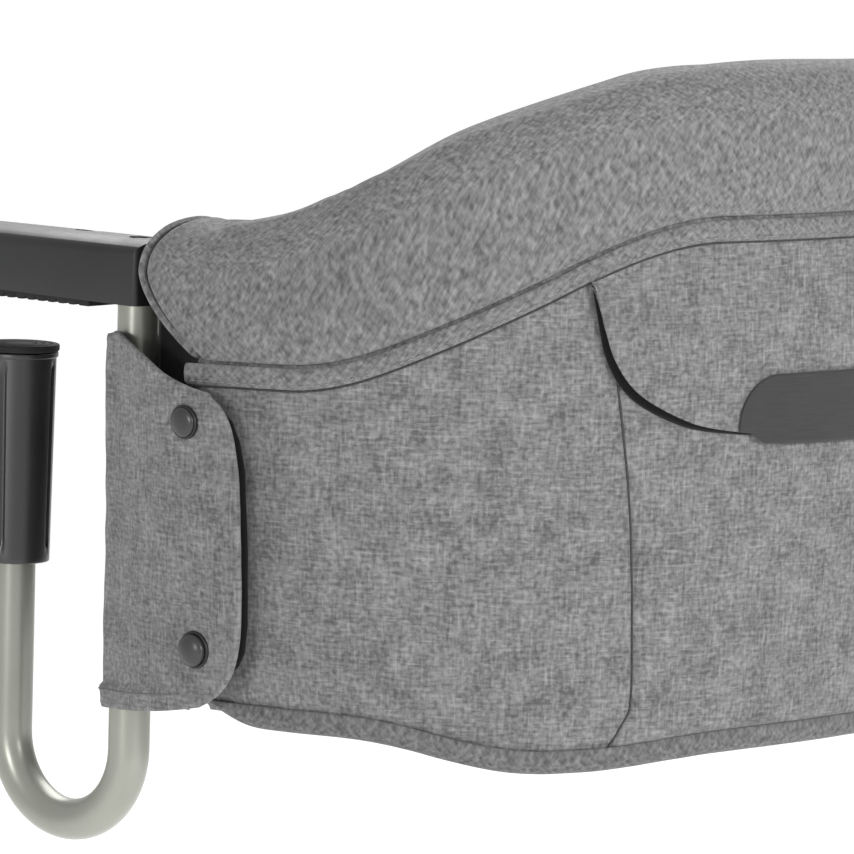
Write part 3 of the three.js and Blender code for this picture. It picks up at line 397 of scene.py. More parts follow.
course = {
    "halfSpacing": 0.195, "depth": 0.177, "frontY": 0.018, "power": 2.4, "steps": 1600,
    "railZ": 0.015, "railRise": 0.065, "railStart": 2.0, "railSpan": 62.0,
    "seamZ": -0.018, "seamRise": 0.0617, "seamStart": 17.2, "seamSpan": 50.5,
    "seamTrim": [(0, 0.0008), (6, 0.0015), (10, 0.0020), (18, 0.0026), (26, 0.0031), (30, 0.0033),
                 (34, 0.0030), (38, 0.0021), (43, 0.0009), (48, 0.0), (90, 0.0)],
    "hemZ": -0.146, "hemBump": 0.0065, "hemBumpAngle": 50.0, "hemBumpSpread": 14.0,
    "hemDrop": 0.005, "hemDropStart": 25.0, "hemDropSpan": 30.0,
    "hemTrim": [(0, 0.0), (24, 0.0), (28, -0.0005), (32, -0.0013), (36, -0.0021), (40, -0.0021),
                (44, -0.0015), (48, -0.0004), (52, 0.0005), (56, 0.0003), (62, 0.0), (90, 0.0)],
}


def clamped(value):
    return min(1.0, max(0.0, value))


def smooth(value):
    t = clamped(value)
    return t * t * (3 - 2 * t)


def bell(value):
    return math.exp(-(value ** 2))


def runsAlong(points, gap=math.dist):
    # Running length at each point of a line
    runs = [0.0]
    for first, second in zip(points, points[1:]):
        runs.append(runs[-1] + gap(first, second))
    return runs


def lineThrough(points, x):
    # Height at x of a smooth line through points sorted by x
    x = min(max(x, points[0][0]), points[-1][0])
    index = 0
    while index < len(points) - 2 and points[index + 1][0] < x:
        index += 1
    slopes = []
    for place in (index, index + 1):
        before = points[max(place - 1, 0)]
        after = points[min(place + 1, len(points) - 1)]
        slopes.append((after[1] - before[1]) / (after[0] - before[0]))
    (startX, startZ), (endX, endZ) = points[index], points[index + 1]
    gap = endX - startX
    t = (x - startX) / gap
    rise = endZ - startZ
    ease = t * t * (3 - 2 * t)
    return startZ + rise * ease + gap * (slopes[0] * t * (1 - t) ** 2 - slopes[1] * t * t * (1 - t))


def folded(angle):
    return min(angle, 180 - angle)


def railZ(angle):
    rise = (folded(angle) - course["railStart"]) / course["railSpan"]
    return course["railZ"] + course["railRise"] * smooth(rise)


def seamZ(angle):
    side = folded(angle)
    rise = (side - course["seamStart"]) / course["seamSpan"]
    return course["seamZ"] + course["seamRise"] * smooth(rise) + lineThrough(course["seamTrim"], side)


def hemZ(angle):
    side = folded(angle)
    bump = bell((side - course["hemBumpAngle"]) / course["hemBumpSpread"])
    drop = smooth((side - course["hemDropStart"]) / course["hemDropSpan"])
    trim = lineThrough(course["hemTrim"], side)
    return course["hemZ"] - course["hemBump"] * bump - course["hemDrop"] * drop + trim


class RailPlan:
    def __init__(self):
        self.angles = []
        self.points = []
        self.normals = []
        self.runs = []
        power = 2 / course["power"]
        for step in range(course["steps"] + 1):
            turn = math.pi * step / course["steps"]
            cosine = math.cos(turn)
            sine = max(math.sin(turn), 1e-9)
            x = course["halfSpacing"] * math.copysign(abs(cosine) ** power, cosine)
            y = course["frontY"] + course["depth"] * sine ** power
            dx = -course["halfSpacing"] * max(abs(cosine), 1e-9) ** (power - 1) * sine
            dy = course["depth"] * sine ** (power - 1) * cosine
            size = math.hypot(dx, dy)
            run = 0.0
            if self.points:
                lastX, lastY = self.points[-1]
                run = self.runs[-1] + math.hypot(x - lastX, y - lastY)
            self.angles.append(math.degrees(turn))
            self.points.append((x, y))
            self.normals.append((dy / size, -dx / size))
            self.runs.append(run)
        self.length = self.runs[-1]

    def between(self, rows, values, target):
        high = min(max(bisect.bisect_left(rows, target), 1), len(rows) - 1)
        low = high - 1
        part = (target - rows[low]) / (rows[high] - rows[low])
        first, second = values[low], values[high]
        if isinstance(first, tuple):
            return tuple(a + (b - a) * part for a, b in zip(first, second))
        return first + (second - first) * part

    def angleAt(self, share):
        return self.between(self.runs, self.angles, share * self.length)

    def shareAtY(self, y):
        return (y - course["frontY"]) / self.length

    def shareIn(self, start, s):
        # Share of the course at s between two ends that lie start from each end of it
        return start + (1 - 2 * start) * s

    def endGap(self, start, s):
        # Run from s to the nearer of the same two ends
        return min(s, 1 - s) * (1 - 2 * start) * self.length

    def runAt(self, share):
        return min(share, 1 - share) * self.length

    def place(self, share, offset, z):
        run = share * self.length
        x, y = self.between(self.runs, self.points, run)
        normalX, normalY = self.between(self.runs, self.normals, run)
        return Vector((x + normalX * offset, y + normalY * offset, z))


plan = RailPlan()

# Makers that several pieces share


def finished(shape, name, material, smoothAngle=180.0):
    mesh = bpy.data.meshes.new(name)
    shape.to_mesh(mesh)
    shape.free()
    mesh.materials.append(material)
    piece = bpy.data.objects.new(name, mesh)
    bpy.context.collection.objects.link(piece)
    for polygon in mesh.polygons:
        polygon.use_smooth = True
    if smoothAngle < 180:
        mesh.set_sharp_from_angle(angle=math.radians(smoothAngle))
    return piece


def clothGrid(columns, rows, place):
    cloth = bmesh.new()
    bmesh.ops.create_grid(cloth, x_segments=columns, y_segments=rows, size=0.5)
    layer = cloth.loops.layers.uv.new("cloth")
    flat = {}
    for vertex in cloth.verts:
        point, u, v = place(vertex.co.x + 0.5, vertex.co.y + 0.5)
        vertex.co = point
        flat[vertex] = (u, v)
    for face in cloth.faces:
        for loop in face.loops:
            loop[layer].uv = flat[loop.vert]
    return cloth


def clothPiece(name, look, place, material, flip=False):
    shape = clothGrid(look["columns"], look["rows"], place)
    if flip:
        bmesh.ops.reverse_faces(shape, faces=shape.faces)
    return finished(shape, name, material)


def flatSize(piece):
    # Width, height and area of the cloth before it was sewn, from its own flat map
    mesh = piece.data
    layer = mesh.uv_layers["cloth"].data
    across = [loop.uv.x for loop in layer]
    along = [loop.uv.y for loop in layer]
    area = 0.0
    for polygon in mesh.polygons:
        corners = [layer[index].uv for index in polygon.loop_indices]
        for first, second in zip(corners, corners[1:] + corners[:1]):
            area += (first.x * second.y - second.x * first.y) / 2
    width = max(across) - min(across)
    height = max(along) - min(along)
    return width, height, min(abs(area), width * height)


def declareSheet(piece, turnedIn=0.0):
    # turnedIn is the seam allowance that the finished strip hides
    width, height, area = flatSize(piece)
    if width < height:
        width, area = width + turnedIn, area + turnedIn * height
    else:
        height, area = height + turnedIn, area + turnedIn * width
    print(f"sheet {piece.name} is cut {width * 1000:.0f} by {height * 1000:.0f} mm")


def soften(piece, levels=1):
    softer = piece.modifiers.new("soften", "SUBSURF")
    softer.levels = levels
    softer.render_levels = levels


def thicken(piece, thickness, levels=1):
    # Adds the cloth's thickness on its inner side
    wall = piece.modifiers.new("thickness", "SOLIDIFY")
    wall.thickness = thickness
    wall.offset = -1.0
    wall.use_even_offset = False
    if levels:
        soften(piece, levels)


def settle(piece, slot, body, *nodes):
    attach(piece, body)
    if nodes:
        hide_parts(*nodes)


def laySheet(piece, look, held, restsOn, slot, *nodes, levels=0):
    declareSheet(piece, look.get("turnedIn", 0.0))
    thicken(piece, look["thickness"], levels)
    settle(piece, slot, "seat_frame", *nodes)


def mirroredPiece(piece, name):
    shape = bmesh.new()
    shape.from_mesh(piece.data)
    bmesh.ops.scale(shape, vec=(-1, 1, 1), verts=shape.verts)
    bmesh.ops.reverse_faces(shape, faces=shape.faces)
    return finished(shape, name, piece.data.materials[0])


def layPair(right, look, held, restsOn, slot, node=None, levels=0):
    # A sheet and its mirror image; {} in a name stands for the side
    left = mirroredPiece(right, right.name.replace("Right", "Left"))
    for piece, side in ((right, "right"), (left, "left")):
        nodes = [node.format(side)] if node else []
        laySheet(piece, look, held, [restsOn.format(side)], slot, *nodes, levels=levels)


bothSides = (("right", 1), ("left", -1))
stitchLook = {"length": 0.0026, "gap": 0.0008, "radius": 0.00033, "sink": 0.25, "around": 6, "along": 4}


def pathRuns(path):
    return runsAlong([point for point, _ in path], lambda first, second: (second - first).length)


def stitchRow(name, path, material, slot="grey_fabric", look=stitchLook):
    # path is a list of points with outward normals; the stitches lie in it end to end
    runs = pathRuns(path)
    pitch = look["length"] + look["gap"]
    count = int(runs[-1] / pitch)
    row = bmesh.new()
    for index in range(count):
        ends = []
        for run in (index * pitch, index * pitch + look["length"]):
            high = min(max(bisect.bisect_left(runs, run), 1), len(runs) - 1)
            part = (run - runs[high - 1]) / max(runs[high] - runs[high - 1], 1e-9)
            point = path[high - 1][0].lerp(path[high][0], part)
            ends.append((point, path[high][1]))
        along = (ends[1][0] - ends[0][0]).normalized()
        outward = ends[0][1]
        side = outward.cross(along).normalized()
        turn = Matrix((side, side.cross(along) * -1, along)).transposed().to_4x4()
        middle = (ends[0][0] + ends[1][0]) / 2 + outward * look["radius"] * look["sink"]
        size = Matrix.Diagonal((look["radius"], look["radius"], look["length"] / 2, 1))
        bmesh.ops.create_uvsphere(
            row, u_segments=look["around"], v_segments=look["along"], radius=1,
            matrix=Matrix.Translation(middle) @ turn @ size,
        )
    settle(finished(row, name, material), slot, "seat_frame")


seamLook = {"radius": 0.00042, "sides": 6, "sink": 0.35}
boldSeam = {**seamLook, "radius": 0.00062, "sink": -0.55}
flatSeam = {**seamLook, "radius": 0.00034, "sink": -0.30}


def closedTube(columns, sides, place):
    # A grid that closes on itself, with both ends filled
    shape = clothGrid(columns, sides, place)
    bmesh.ops.remove_doubles(shape, verts=shape.verts, dist=1e-6)
    rims = [edge for edge in shape.edges if edge.is_boundary]
    bmesh.ops.holes_fill(shape, edges=rims, sides=0)
    bmesh.ops.recalc_face_normals(shape, faces=shape.faces)
    return shape


def seamLine(name, path, material=darkThreadAndSeamShade, look=seamLook):
    # A line of close stitches, as one thin round thread along the path; in dark thread it also paints the
    # shade of the seam's groove
    runs = pathRuns(path)
    count = len(path) - 1

    def place(s, t):
        index = min(int(round(s * count)), count)
        point, outward = path[index]
        along = (path[min(index + 1, count)][0] - path[max(index - 1, 0)][0]).normalized()
        side = outward.cross(along).normalized()
        angle = -2 * math.pi * t
        centre = point - outward * look["radius"] * look["sink"]
        return centre + (side * math.cos(angle) + outward * math.sin(angle)) * look["radius"], runs[index], t
    settle(finished(closedTube(count, look["sides"], place), name, material), "grey_fabric", "seat_frame")


def onSurface(place, spots, step=0.001):
    # Points of a placed sheet with their normals, for stitches
    path = []
    for s, t in spots:
        point = place(s, t)[0]
        alongS = place(min(s + step, 1), t)[0] - place(max(s - step, 0), t)[0]
        alongT = place(s, min(t + step, 1))[0] - place(s, max(t - step, 0))[0]
        path.append((point, alongS.cross(alongT).normalized()))
    return path


def turned(profile, steps, centre, axis=(0, 0, 1)):
    # A closed profile of (radius, height) pairs spun round an axis through centre
    shape = bmesh.new()
    points = [shape.verts.new((radius, 0, height)) for radius, height in profile]
    edges = [shape.edges.new(pair) for pair in zip(points, points[1:])]
    bmesh.ops.spin(
        shape, geom=points + edges, cent=(0, 0, 0), axis=(0, 0, 1), angle=2 * math.pi,
        steps=steps, use_merge=True, use_duplicate=False,
    )
    bmesh.ops.remove_doubles(shape, verts=shape.verts, dist=1e-6)
    bmesh.ops.recalc_face_normals(shape, faces=shape.faces)
    turn = Vector((0, 0, 1)).rotation_difference(Vector(axis)).to_matrix().to_4x4()
    bmesh.ops.transform(shape, matrix=Matrix.Translation(centre) @ turn, verts=shape.verts)
    return shape


def bevelled(shape, edges, width, segments):
    bmesh.ops.bevel(
        shape, geom=edges, offset=width, offset_type="OFFSET", segments=segments, profile=0.5,
        affect="EDGES", clamp_overlap=True, material=-1,
    )


roundLook = {"sharp": 35.0, "shadedSharp": 55.0, "flat": 1.5}


def roundedCopy(node, name, material, width, segments=2, reshape=None):
    # A CAD node again, with its triangles merged and its edges rounded
    shape = bmesh.new()
    shape.from_mesh(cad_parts[node].data)
    bmesh.ops.remove_doubles(shape, verts=shape.verts, dist=2e-6)
    if reshape:
        for vertex in shape.verts:
            vertex.co = reshape(vertex.co)
    flat = math.radians(roundLook["flat"])
    bmesh.ops.dissolve_limit(shape, angle_limit=flat, verts=shape.verts, edges=shape.edges)
    limit = math.radians(roundLook["sharp"])
    edges = [edge for edge in shape.edges if edge.is_manifold and edge.calc_face_angle() > limit]
    bevelled(shape, edges, width, segments)
    return finished(shape, name, material, roundLook["shadedSharp"])


def tubePiece(name, path, radius, material, sides, sideways, columns=220, step=0.002):
    # path(s) gives the centre line; each ring starts in the direction sideways, fixed or found from s
    def place(s, t):
        centre = path(s)
        along = (path(min(s + step, 1)) - path(max(s - step, 0))).normalized()
        side = sideways(s) if callable(sideways) else Vector(sideways)
        side = (side - along * side.dot(along)).normalized()
        other = along.cross(side)
        angle = -2 * math.pi * t
        point = centre + (side * math.cos(angle) + other * math.sin(angle)) * radius
        return point, s, t
    return finished(closedTube(columns, sides, place), name, material, 50)


clothLook = {"frames": 20, "quality": 6, "mass": 0.25, "tension": 12.0, "bending": 0.6}


def inflate(piece, pressure, cap, pins=(), shrink=0.0, look=clothLook):
    # Cloth under pressure, stepped and applied; no point moves more than cap
    rest = [vertex.co.copy() for vertex in piece.data.vertices]
    cloth = piece.modifiers.new("cloth", "CLOTH")
    sim = cloth.settings
    sim.quality = look["quality"]
    sim.mass = look["mass"]
    sim.tension_stiffness = look["tension"]
    sim.compression_stiffness = look["tension"]
    sim.shear_stiffness = look["tension"] / 3
    sim.bending_stiffness = look["bending"]
    sim.use_pressure = True
    sim.uniform_pressure_force = pressure
    sim.shrink_min = shrink
    sim.effector_weights.gravity = 0
    cloth.collision_settings.use_collision = False
    if pins:
        group = piece.vertex_groups.new(name="pins")
        group.add(list(pins), 1.0, "REPLACE")
        sim.vertex_group_mass = "pins"
    scene = bpy.context.scene
    for step in range(1, look["frames"] + 1):
        scene.frame_set(step)
    shown = piece.evaluated_get(bpy.context.evaluated_depsgraph_get())
    moved = [vertex.co.copy() for vertex in shown.data.vertices]
    piece.modifiers.remove(cloth)
    piece.vertex_groups.clear()
    for vertex, start, end in zip(piece.data.vertices, rest, moved):
        shift = end - start
        if shift.length > cap:
            shift = shift * (cap / shift.length)
        vertex.co = start + shift
    scene.frame_set(1)
    print(f"{piece.name} took its shape under pressure")


waveLook = {"slow": (0.085, 0.055, 1.7, 0.0011), "quick": (0.034, 0.016, 4.2, 0.0004)}


def ripple(run, z, look, seed=0.0):
    # look is (run of a wave, its height along z, seed, depth)
    runSize, zSize, ownSeed, depth = look
    return noise.noise(Vector((run / runSize, z / zSize, ownSeed + seed))) * depth


def softWave(run, z, seed=0.0):
    # Slow waves of the cloth over its foam, the same for every layer that lies on the wall
    return ripple(run, z, waveLook["slow"], seed) + ripple(run, z, waveLook["quick"], seed)


# Seat wall, with its hem, seam band, pocket, flap and patch

wallLook = {
    "frontY": 0.046, "topOffset": 0.0195, "bottomOffset": 0.010, "bulge": 0.0016, "topGap": 0.0007,
    "thickness": 0.0035, "columns": 330, "rows": 104, "tuckDepth": 0.0014, "tuckReach": 0.0030,
    "topTurn": 0.0045, "bottomTurn": 0.0040, "turnDepth": 0.0042,
}


def wallShare(z, angle):
    return clamped((z - hemZ(angle)) / (seamZ(angle) - hemZ(angle)))


def wallOffset(z, angle):
    v = wallShare(z, angle)
    spread = wallLook["topOffset"] - wallLook["bottomOffset"]
    return wallLook["bottomOffset"] + spread * v + wallLook["bulge"] * math.sin(math.pi * v)


def wallSkin(share, z, lift=0.0):
    angle = plan.angleAt(share)
    run = share * plan.length
    level = wallShare(z, angle)
    fade = math.sin(math.pi * level) ** 0.5 if 0 < level < 1 else 0.0
    offset = wallOffset(z, angle) + lift + softWave(run, z) * fade
    return plan.place(share, offset, z), run, z


def wallPlace(s, t):
    share = plan.shareIn(plan.shareAtY(wallLook["frontY"]), s)
    angle = plan.angleAt(share)
    top = seamZ(angle) - wallLook["topGap"]
    bottom = hemZ(angle)
    low = bottom - wallLook["bottomTurn"]
    z = low + (top + wallLook["topTurn"] - low) * t
    reach = wallLook["tuckReach"]
    tuck = bell((z - bottom) / reach) + bell((top - z) / reach)
    turn = smooth((z - top) / wallLook["topTurn"]) + smooth((bottom - z) / wallLook["bottomTurn"])
    return wallSkin(share, z, -wallLook["tuckDepth"] * tuck - wallLook["turnDepth"] * turn)


def makeSeatWall():
    piece = clothPiece("seatWallCloth", wallLook, wallPlace, fabric)
    laySheet(piece, wallLook, "stretched", ["rear_rail", "base_board"], "grey_fabric", "seat_wall")


hemLook = {"gap": -0.0004, "height": 0.0092, "halfDepth": 0.0037, "sink": 0.0033, "columns": 190, "rows": 14,
           "thickness": 0.0012, "squareness": 0.75, "endShare": 0.06, "endRun": 0.026, "flatHeight": 0.022,
           "ripple": (0.012, 0.5, 9.1, 0.0005)}


def hemPlace(s, t):
    look = hemLook
    start = plan.shareAtY(wallLook["frontY"])
    share = plan.shareIn(start, s)
    turn = math.pi * (1 - t)
    across = math.copysign(abs(math.cos(turn)) ** look["squareness"], math.cos(turn))
    down = math.sin(turn) ** look["squareness"]
    run = share * plan.length
    wave = ripple(run, t, look["ripple"]) * down
    offset = wallLook["bottomOffset"] - look["sink"] + look["halfDepth"] * across + wave
    grown = math.sin(math.pi / 2 * min(1.0, plan.endGap(start, s) / look["endRun"]))
    height = look["height"] * (look["endShare"] + (1 - look["endShare"]) * grown)
    z = hemZ(plan.angleAt(share)) - look["gap"] - height * down
    return plan.place(share, offset, z), run, t * look["flatHeight"]


def makeHem():
    piece = clothPiece("hemRoll", hemLook, hemPlace, shadedHemFabric)
    laySheet(piece, hemLook, "folded", ["seatWallCloth"], "grey_fabric", "hem_binding", levels=1)


bandLook = {"height": 0.0085, "lift": 0.0003, "rise": 0.0014, "columns": 260, "rows": 10, "thickness": 0.0009,
            "startY": 0.0415, "turnedIn": 0.003, "stitchLevel": 0.2, "seamDrop": 0.05, "spots": 400}


def bandPlace(s, t):
    share = plan.shareIn(plan.shareAtY(bandLook["startY"]), s)
    angle = plan.angleAt(share)
    z = seamZ(angle) - wallLook["topGap"] - bandLook["height"] * (1 - t)
    lift = bandLook["lift"] + bandLook["rise"] * math.sin(math.pi * t) ** 0.5
    point = plan.place(share, wallOffset(z, angle) + lift, z)
    return point, share * plan.length, t * bandLook["height"]


def makeSeamBand():
    look = bandLook
    piece = clothPiece("seamBand", look, bandPlace, biasFabric)
    laySheet(piece, look, "stretched", ["seatWallCloth"], "grey_fabric", "seam_tape", levels=1)
    spots = [(step / look["spots"], look["stitchLevel"]) for step in range(2, look["spots"] - 1)]
    stitchRow("bandStitches", onSurface(bandPlace, spots), greyThread)
    drop = look["height"] * look["seamDrop"]
    low = onSurface(bandPlace, [(step / look["spots"], 0.0) for step in range(look["spots"] + 1)])
    # The dark line under the band paints the shadow of its edge as well as the seam
    seamLine("bandSeamLow", [(point - Vector((0, 0, drop)), normal) for point, normal in low])


pocketLook = {
    "topZ": 0.000, "lift": 0.0011, "edgeSink": 0.0012, "edgeReach": 0.0022, "thickness": 0.0010,
    "columns": 150, "rows": 64, "middleAngle": 60.0, "crowding": 0.6, "hemGap": 0.0004, "seamLift": 0.0004,
    "edge": [(-0.158, 0.1785), (-0.1542, 0.1803), (-0.1478, 0.1837), (-0.1410, 0.1869), (-0.1147, 0.1861),
             (-0.0843, 0.1841), (-0.0616, 0.1822), (-0.0427, 0.1799), (-0.0315, 0.1783), (0.0, 0.1735)],
}


def crowded(s, share):
    # Columns crowd towards both ends
    return s - share * math.sin(2 * math.pi * s) / (2 * math.pi)


def pocketPlace(s, t):
    # The side edges follow a list of (height, run along the wall)
    look = pocketLook
    top = look["topZ"]
    middle = hemZ(look["middleAngle"])
    start = lineThrough(look["edge"], middle + (top - middle) * t) / plan.length
    eased = crowded(s, look["crowding"])
    share = plan.shareIn(start, eased)
    bottom = hemZ(plan.angleAt(share)) + look["hemGap"]
    z = bottom + (top - bottom) * t
    sink = bell(plan.endGap(start, eased) / look["edgeReach"]) + bell((z - bottom) / look["edgeReach"])
    return wallSkin(share, z, look["lift"] - look["edgeSink"] * sink)


def makePocket():
    piece = clothPiece("pocketCloth", pocketLook, pocketPlace, fabric)
    laySheet(piece, pocketLook, "stretched", ["seatWallCloth"], "grey_fabric", "pocket_panel")
    # Dark lines down the pocket's sides: seams, and painted shade of their grooves
    for name, end in (("pocketSeamRight", 0.0), ("pocketSeamLeft", 1.0)):
        path = onSurface(pocketPlace, [(end, 1 - step / 120) for step in range(121)])
        seamLine(name, [(point + normal * pocketLook["seamLift"], normal) for point, normal in path])


flapLook = {
    "lift": 0.0026, "gape": 0.0034, "gapeRun": 0.020, "gapeReach": 0.026, "thickness": 0.0016,
    "columns": 190, "rows": 44, "rollDepth": 0.0005, "rollReach": 0.0012, "hemInset": 0.0032,
    "hemGroove": 0.0003, "hemReach": 0.0007, "topGap": 0.0004, "leastHeight": 0.0015, "close": 0.0004,
    "liftEase": 1.6, "gapeEase": 1.3, "cornerGap": 0.0002, "cornerEase": 0.25,
    "edge": [(0.1656, 0.0200), (0.1671, 0.0137), (0.1690, 0.0063), (0.1707, -0.0006), (0.1726, -0.0067),
             (0.1763, -0.0142), (0.1807, -0.0200), (0.1866, -0.0248), (0.1963, -0.0302), (0.2057, -0.0339),
             (0.2228, -0.0371), (0.2395, -0.0384), (0.2700, -0.0390), (0.3024, -0.0392)],
}


def flapTopZ(angle):
    return seamZ(angle) - bandLook["height"] - flapLook["topGap"]


def flapEdgeZ(share):
    # The lower edge follows a list of (run along the wall, height)
    top = flapTopZ(plan.angleAt(share))
    return min(top - flapLook["leastHeight"], lineThrough(flapLook["edge"], plan.runAt(share)))


def flapLift(share, level):
    # The flap lies close under the band and gapes towards its curved edge
    look = flapLook
    run = plan.runAt(share) - look["edge"][0][0]
    corner = bell((run - look["gapeRun"]) / look["gapeReach"])
    close = look["close"] + look["lift"] * smooth(look["liftEase"] * level)
    return close + look["gape"] * corner * smooth(look["gapeEase"] * level)


def flapShare(s):
    return plan.shareIn(flapLook["edge"][0][0] / plan.length, 0.5 - 0.5 * math.cos(math.pi * s))


def flapPlace(s, t):
    look = flapLook
    share = flapShare(s)
    top = flapTopZ(plan.angleAt(share))
    bottom = flapEdgeZ(share)
    z = bottom + (top - bottom) * t
    run = plan.runAt(share) - look["edge"][0][0]
    edge = min(z - bottom, run + look["cornerGap"] + look["cornerEase"] * (z - bottom))
    roll = look["rollDepth"] * bell(edge / look["rollReach"])
    roll += look["hemGroove"] * bell((edge - look["hemInset"]) / look["hemReach"])
    return wallSkin(share, z, flapLift(share, 1 - t) - roll)


def makeFlap():
    piece = clothPiece("pocketFlapCloth", flapLook, flapPlace, fabric)
    laySheet(piece, flapLook, "hung", ["seatWallCloth", "pocketCloth"], "grey_fabric", "pocket_flap")
    # Painted shadows along the flap's curved edge, one from each end
    makeFacing("flapFacingRight", 0.0)
    makeFacing("flapFacingLeft", 1.0)


flapShadowLook = {"width": 0.0020, "under": 0.0048, "start": 0.02, "span": 0.31, "thickness": 0.0006,
              "columns": 90, "rows": 8, "turnedIn": 0.0035, "step": 0.004, "endWidth": 0.12, "widening": 0.25,
              "crescentPower": 1.5, "underEase": 6, "lift": 0.0016, "topLift": 0.0020}


def makeFacing(name, end):
    # A dark strip on the wall beside the flap's edge, which shows as a narrow crescent: a painted shadow of
    # the flap
    look = flapShadowLook
    flip = end < 0.5
    columns = look["columns"]
    shares = [flapShare(look["start"] + look["span"] * step / columns) for step in range(columns + 1)]
    runs = runsAlong([(share * plan.length, flapEdgeZ(share)) for share in shares])

    def place(s, t):
        along = look["start"] + look["span"] * s
        at = flapShare(abs(end - along))
        ahead = flapShare(abs(end - along - look["step"]))
        behind = flapShare(abs(end - max(0.0, along - look["step"])))
        side = (ahead - behind) * plan.length
        drop = flapEdgeZ(ahead) - flapEdgeZ(behind)
        size = math.hypot(side, drop)
        outRun = drop / size * (1 if flip else -1)
        outZ = -abs(side) / size
        crescent = math.sin(math.pi * s) ** look["crescentPower"]
        width = look["width"] * (look["endWidth"] + look["widening"] * s + crescent)
        under = look["under"] * min(1.0, look["underEase"] * s)
        reach = -under + (under + width) * t
        z = flapEdgeZ(at) + outZ * reach
        share = at + outRun * reach / plan.length
        lift = look["topLift"] if z > pocketLook["topZ"] else look["lift"]
        return wallSkin(share, z, lift)[0], runs[round(s * columns)], reach
    piece = clothPiece(name, look, place, blackGusset, flip)
    laySheet(piece, look, "stretched", ["pocketCloth"], "dark_fabric")


patchLook = {"run": 0.2214, "topZ": -0.0156, "lift": 0.0005, "thickness": 0.0008, "cornerRun": 0.017,
             "cornerHeight": 0.0200, "hangAndShadow": 0.0036, "hangStart": 0.004, "hangReach": 0.008,
             "columns": 130, "rows": 22, "crowding": 0.7}


def patchPlace(s, t):
    start = patchLook["run"] / plan.length
    eased = crowded(s, patchLook["crowding"])
    share = plan.shareIn(start, eased)
    side = plan.endGap(start, eased)
    turn = max(0.0, 1 - side / patchLook["cornerRun"])
    top = patchLook["topZ"] - patchLook["cornerHeight"] * (1 - math.sqrt(1 - turn ** 2))
    edgeZ, flapTop = flapEdgeZ(share), flapTopZ(plan.angleAt(share))
    # The patch hangs below the flap's edge: partly its own overhang, partly painted shadow under the edge
    bottom = edgeZ - patchLook["hangAndShadow"] * smooth((side - patchLook["hangStart"]) / patchLook["hangReach"])
    z = bottom + (top - bottom) * t
    level = (flapTop - z) / (flapTop - edgeZ)
    lift = flapLift(share, min(1.0, level)) + patchLook["lift"] + patchLook["thickness"]
    return wallSkin(share, z, lift)


def makePatch():
    piece = clothPiece("flapPatchCloth", patchLook, patchPlace, patchFabric)
    laySheet(piece, patchLook, "laid", ["pocketFlapCloth"], "dark_fabric", "flap_patch")


makeSeatWall()
makeHem()
makeSeamBand()
makePocket()
makeFlap()
makePatch()
print("seat wall, hem, seam band, pocket and flap made")

# Padded cover over the rail

coverLook = {
    "halfWidth": 0.0225, "crest": 0.020, "frontY": 0.0193, "topSetback": 0.009, "bottomSetback": 0.025,
    "columns": 200, "rows": 58, "thickness": 0.0058, "hemWidth": 0.0036, "hemDepth": 0.0018,
    "crestTrim": [(0, 0.0026), (3, 0.0006), (6, -0.0012), (8.5, -0.0016), (12.5, -0.0033), (16.5, -0.0033),
                  (20, -0.0018), (24, 0.0010), (28, 0.0021), (34, 0.0030), (40, 0.0018), (43.5, 0.0007),
                  (47, -0.0003), (51, -0.0012), (55, -0.0015), (59, -0.0008), (63, -0.0002), (68, 0.0001),
                  (76, 0.0009), (90, 0.0007)],
    "pressure": 1.6, "cap": 0.0016, "shrink": -0.012, "endShare": 0.06, "endReach": 0.010, "fill": 0.85,
    "grooveReach": 0.0015, "tuckReach": 0.0012, "tuckDepth": 0.0008, "flatHeight": 0.118, "waveHeight": 0.13,
    "waveSeed": 3.0, "pinnedRows": 2, "pinnedColumns": 14, "seamSpots": 200, "seamStart": 0.01,
    "shares": [
        (0.9, -1), (0.96, -0.66), (1, -0.25), (0.98, 0.2), (0.86, 0.6), (0.55, 0.9), (0, 1),
        (-0.55, 0.9), (-0.86, 0.6), (-0.98, 0.2), (-1, -0.25), (-0.96, -0.66), (-0.9, -1),
    ],
}


def coverSection(t):
    # A smooth line through the section's shares
    shares = coverLook["shares"]
    place = t * (len(shares) - 1)
    index = min(int(place), len(shares) - 2)
    part = place - index
    before = shares[max(index - 1, 0)]
    first = shares[index]
    second = shares[index + 1]
    after = shares[min(index + 2, len(shares) - 1)]
    values = []
    for a, b, c, d in zip(before, first, second, after):
        curve = 2 * b + (c - a) * part + (2 * a - 5 * b + 4 * c - d) * part ** 2
        values.append((curve + (3 * b - a - 3 * c + d) * part ** 3) / 2)
    return values


def coverEase(s):
    # Columns crowd towards the sewn front edges
    ends = coverLook["endShare"]
    reach = coverLook["endReach"] / plan.length
    near = min(s, 1 - s)
    eased = near * reach / ends if near < ends else reach + (near - ends) * (0.5 - reach) / (0.5 - ends)
    return eased if s < 0.5 else 1 - eased


def coverPlace(s, t):
    look = coverLook
    s = coverEase(s)
    u, v = coverSection(t)
    if v > 0:
        setback = look["topSetback"] * v ** 2
    else:
        setback = look["bottomSetback"] * min(1.0, -v) ** 1.5
    start = plan.shareAtY(look["frontY"] + setback)
    share = plan.shareIn(start, s)
    angle = plan.angleAt(share)
    side = plan.endGap(start, s)
    groove = bell((side - look["hemWidth"]) / look["grooveReach"])
    tuck = bell(side / look["tuckReach"]) * look["tuckDepth"]
    shrink = 1 - (groove * look["hemDepth"] + tuck) / look["crest"]
    height = look["crest"] if v > 0 else railZ(angle) - seamZ(angle)
    run = share * plan.length
    soft = softWave(run, t * look["waveHeight"], look["waveSeed"]) * math.sin(math.pi * t)
    trim = soft + lineThrough(look["crestTrim"], folded(angle))
    z = railZ(angle) + v * height * shrink + trim * max(v, 0)
    return plan.place(share, u * look["halfWidth"] * shrink + soft * u, z), run, t * look["flatHeight"]


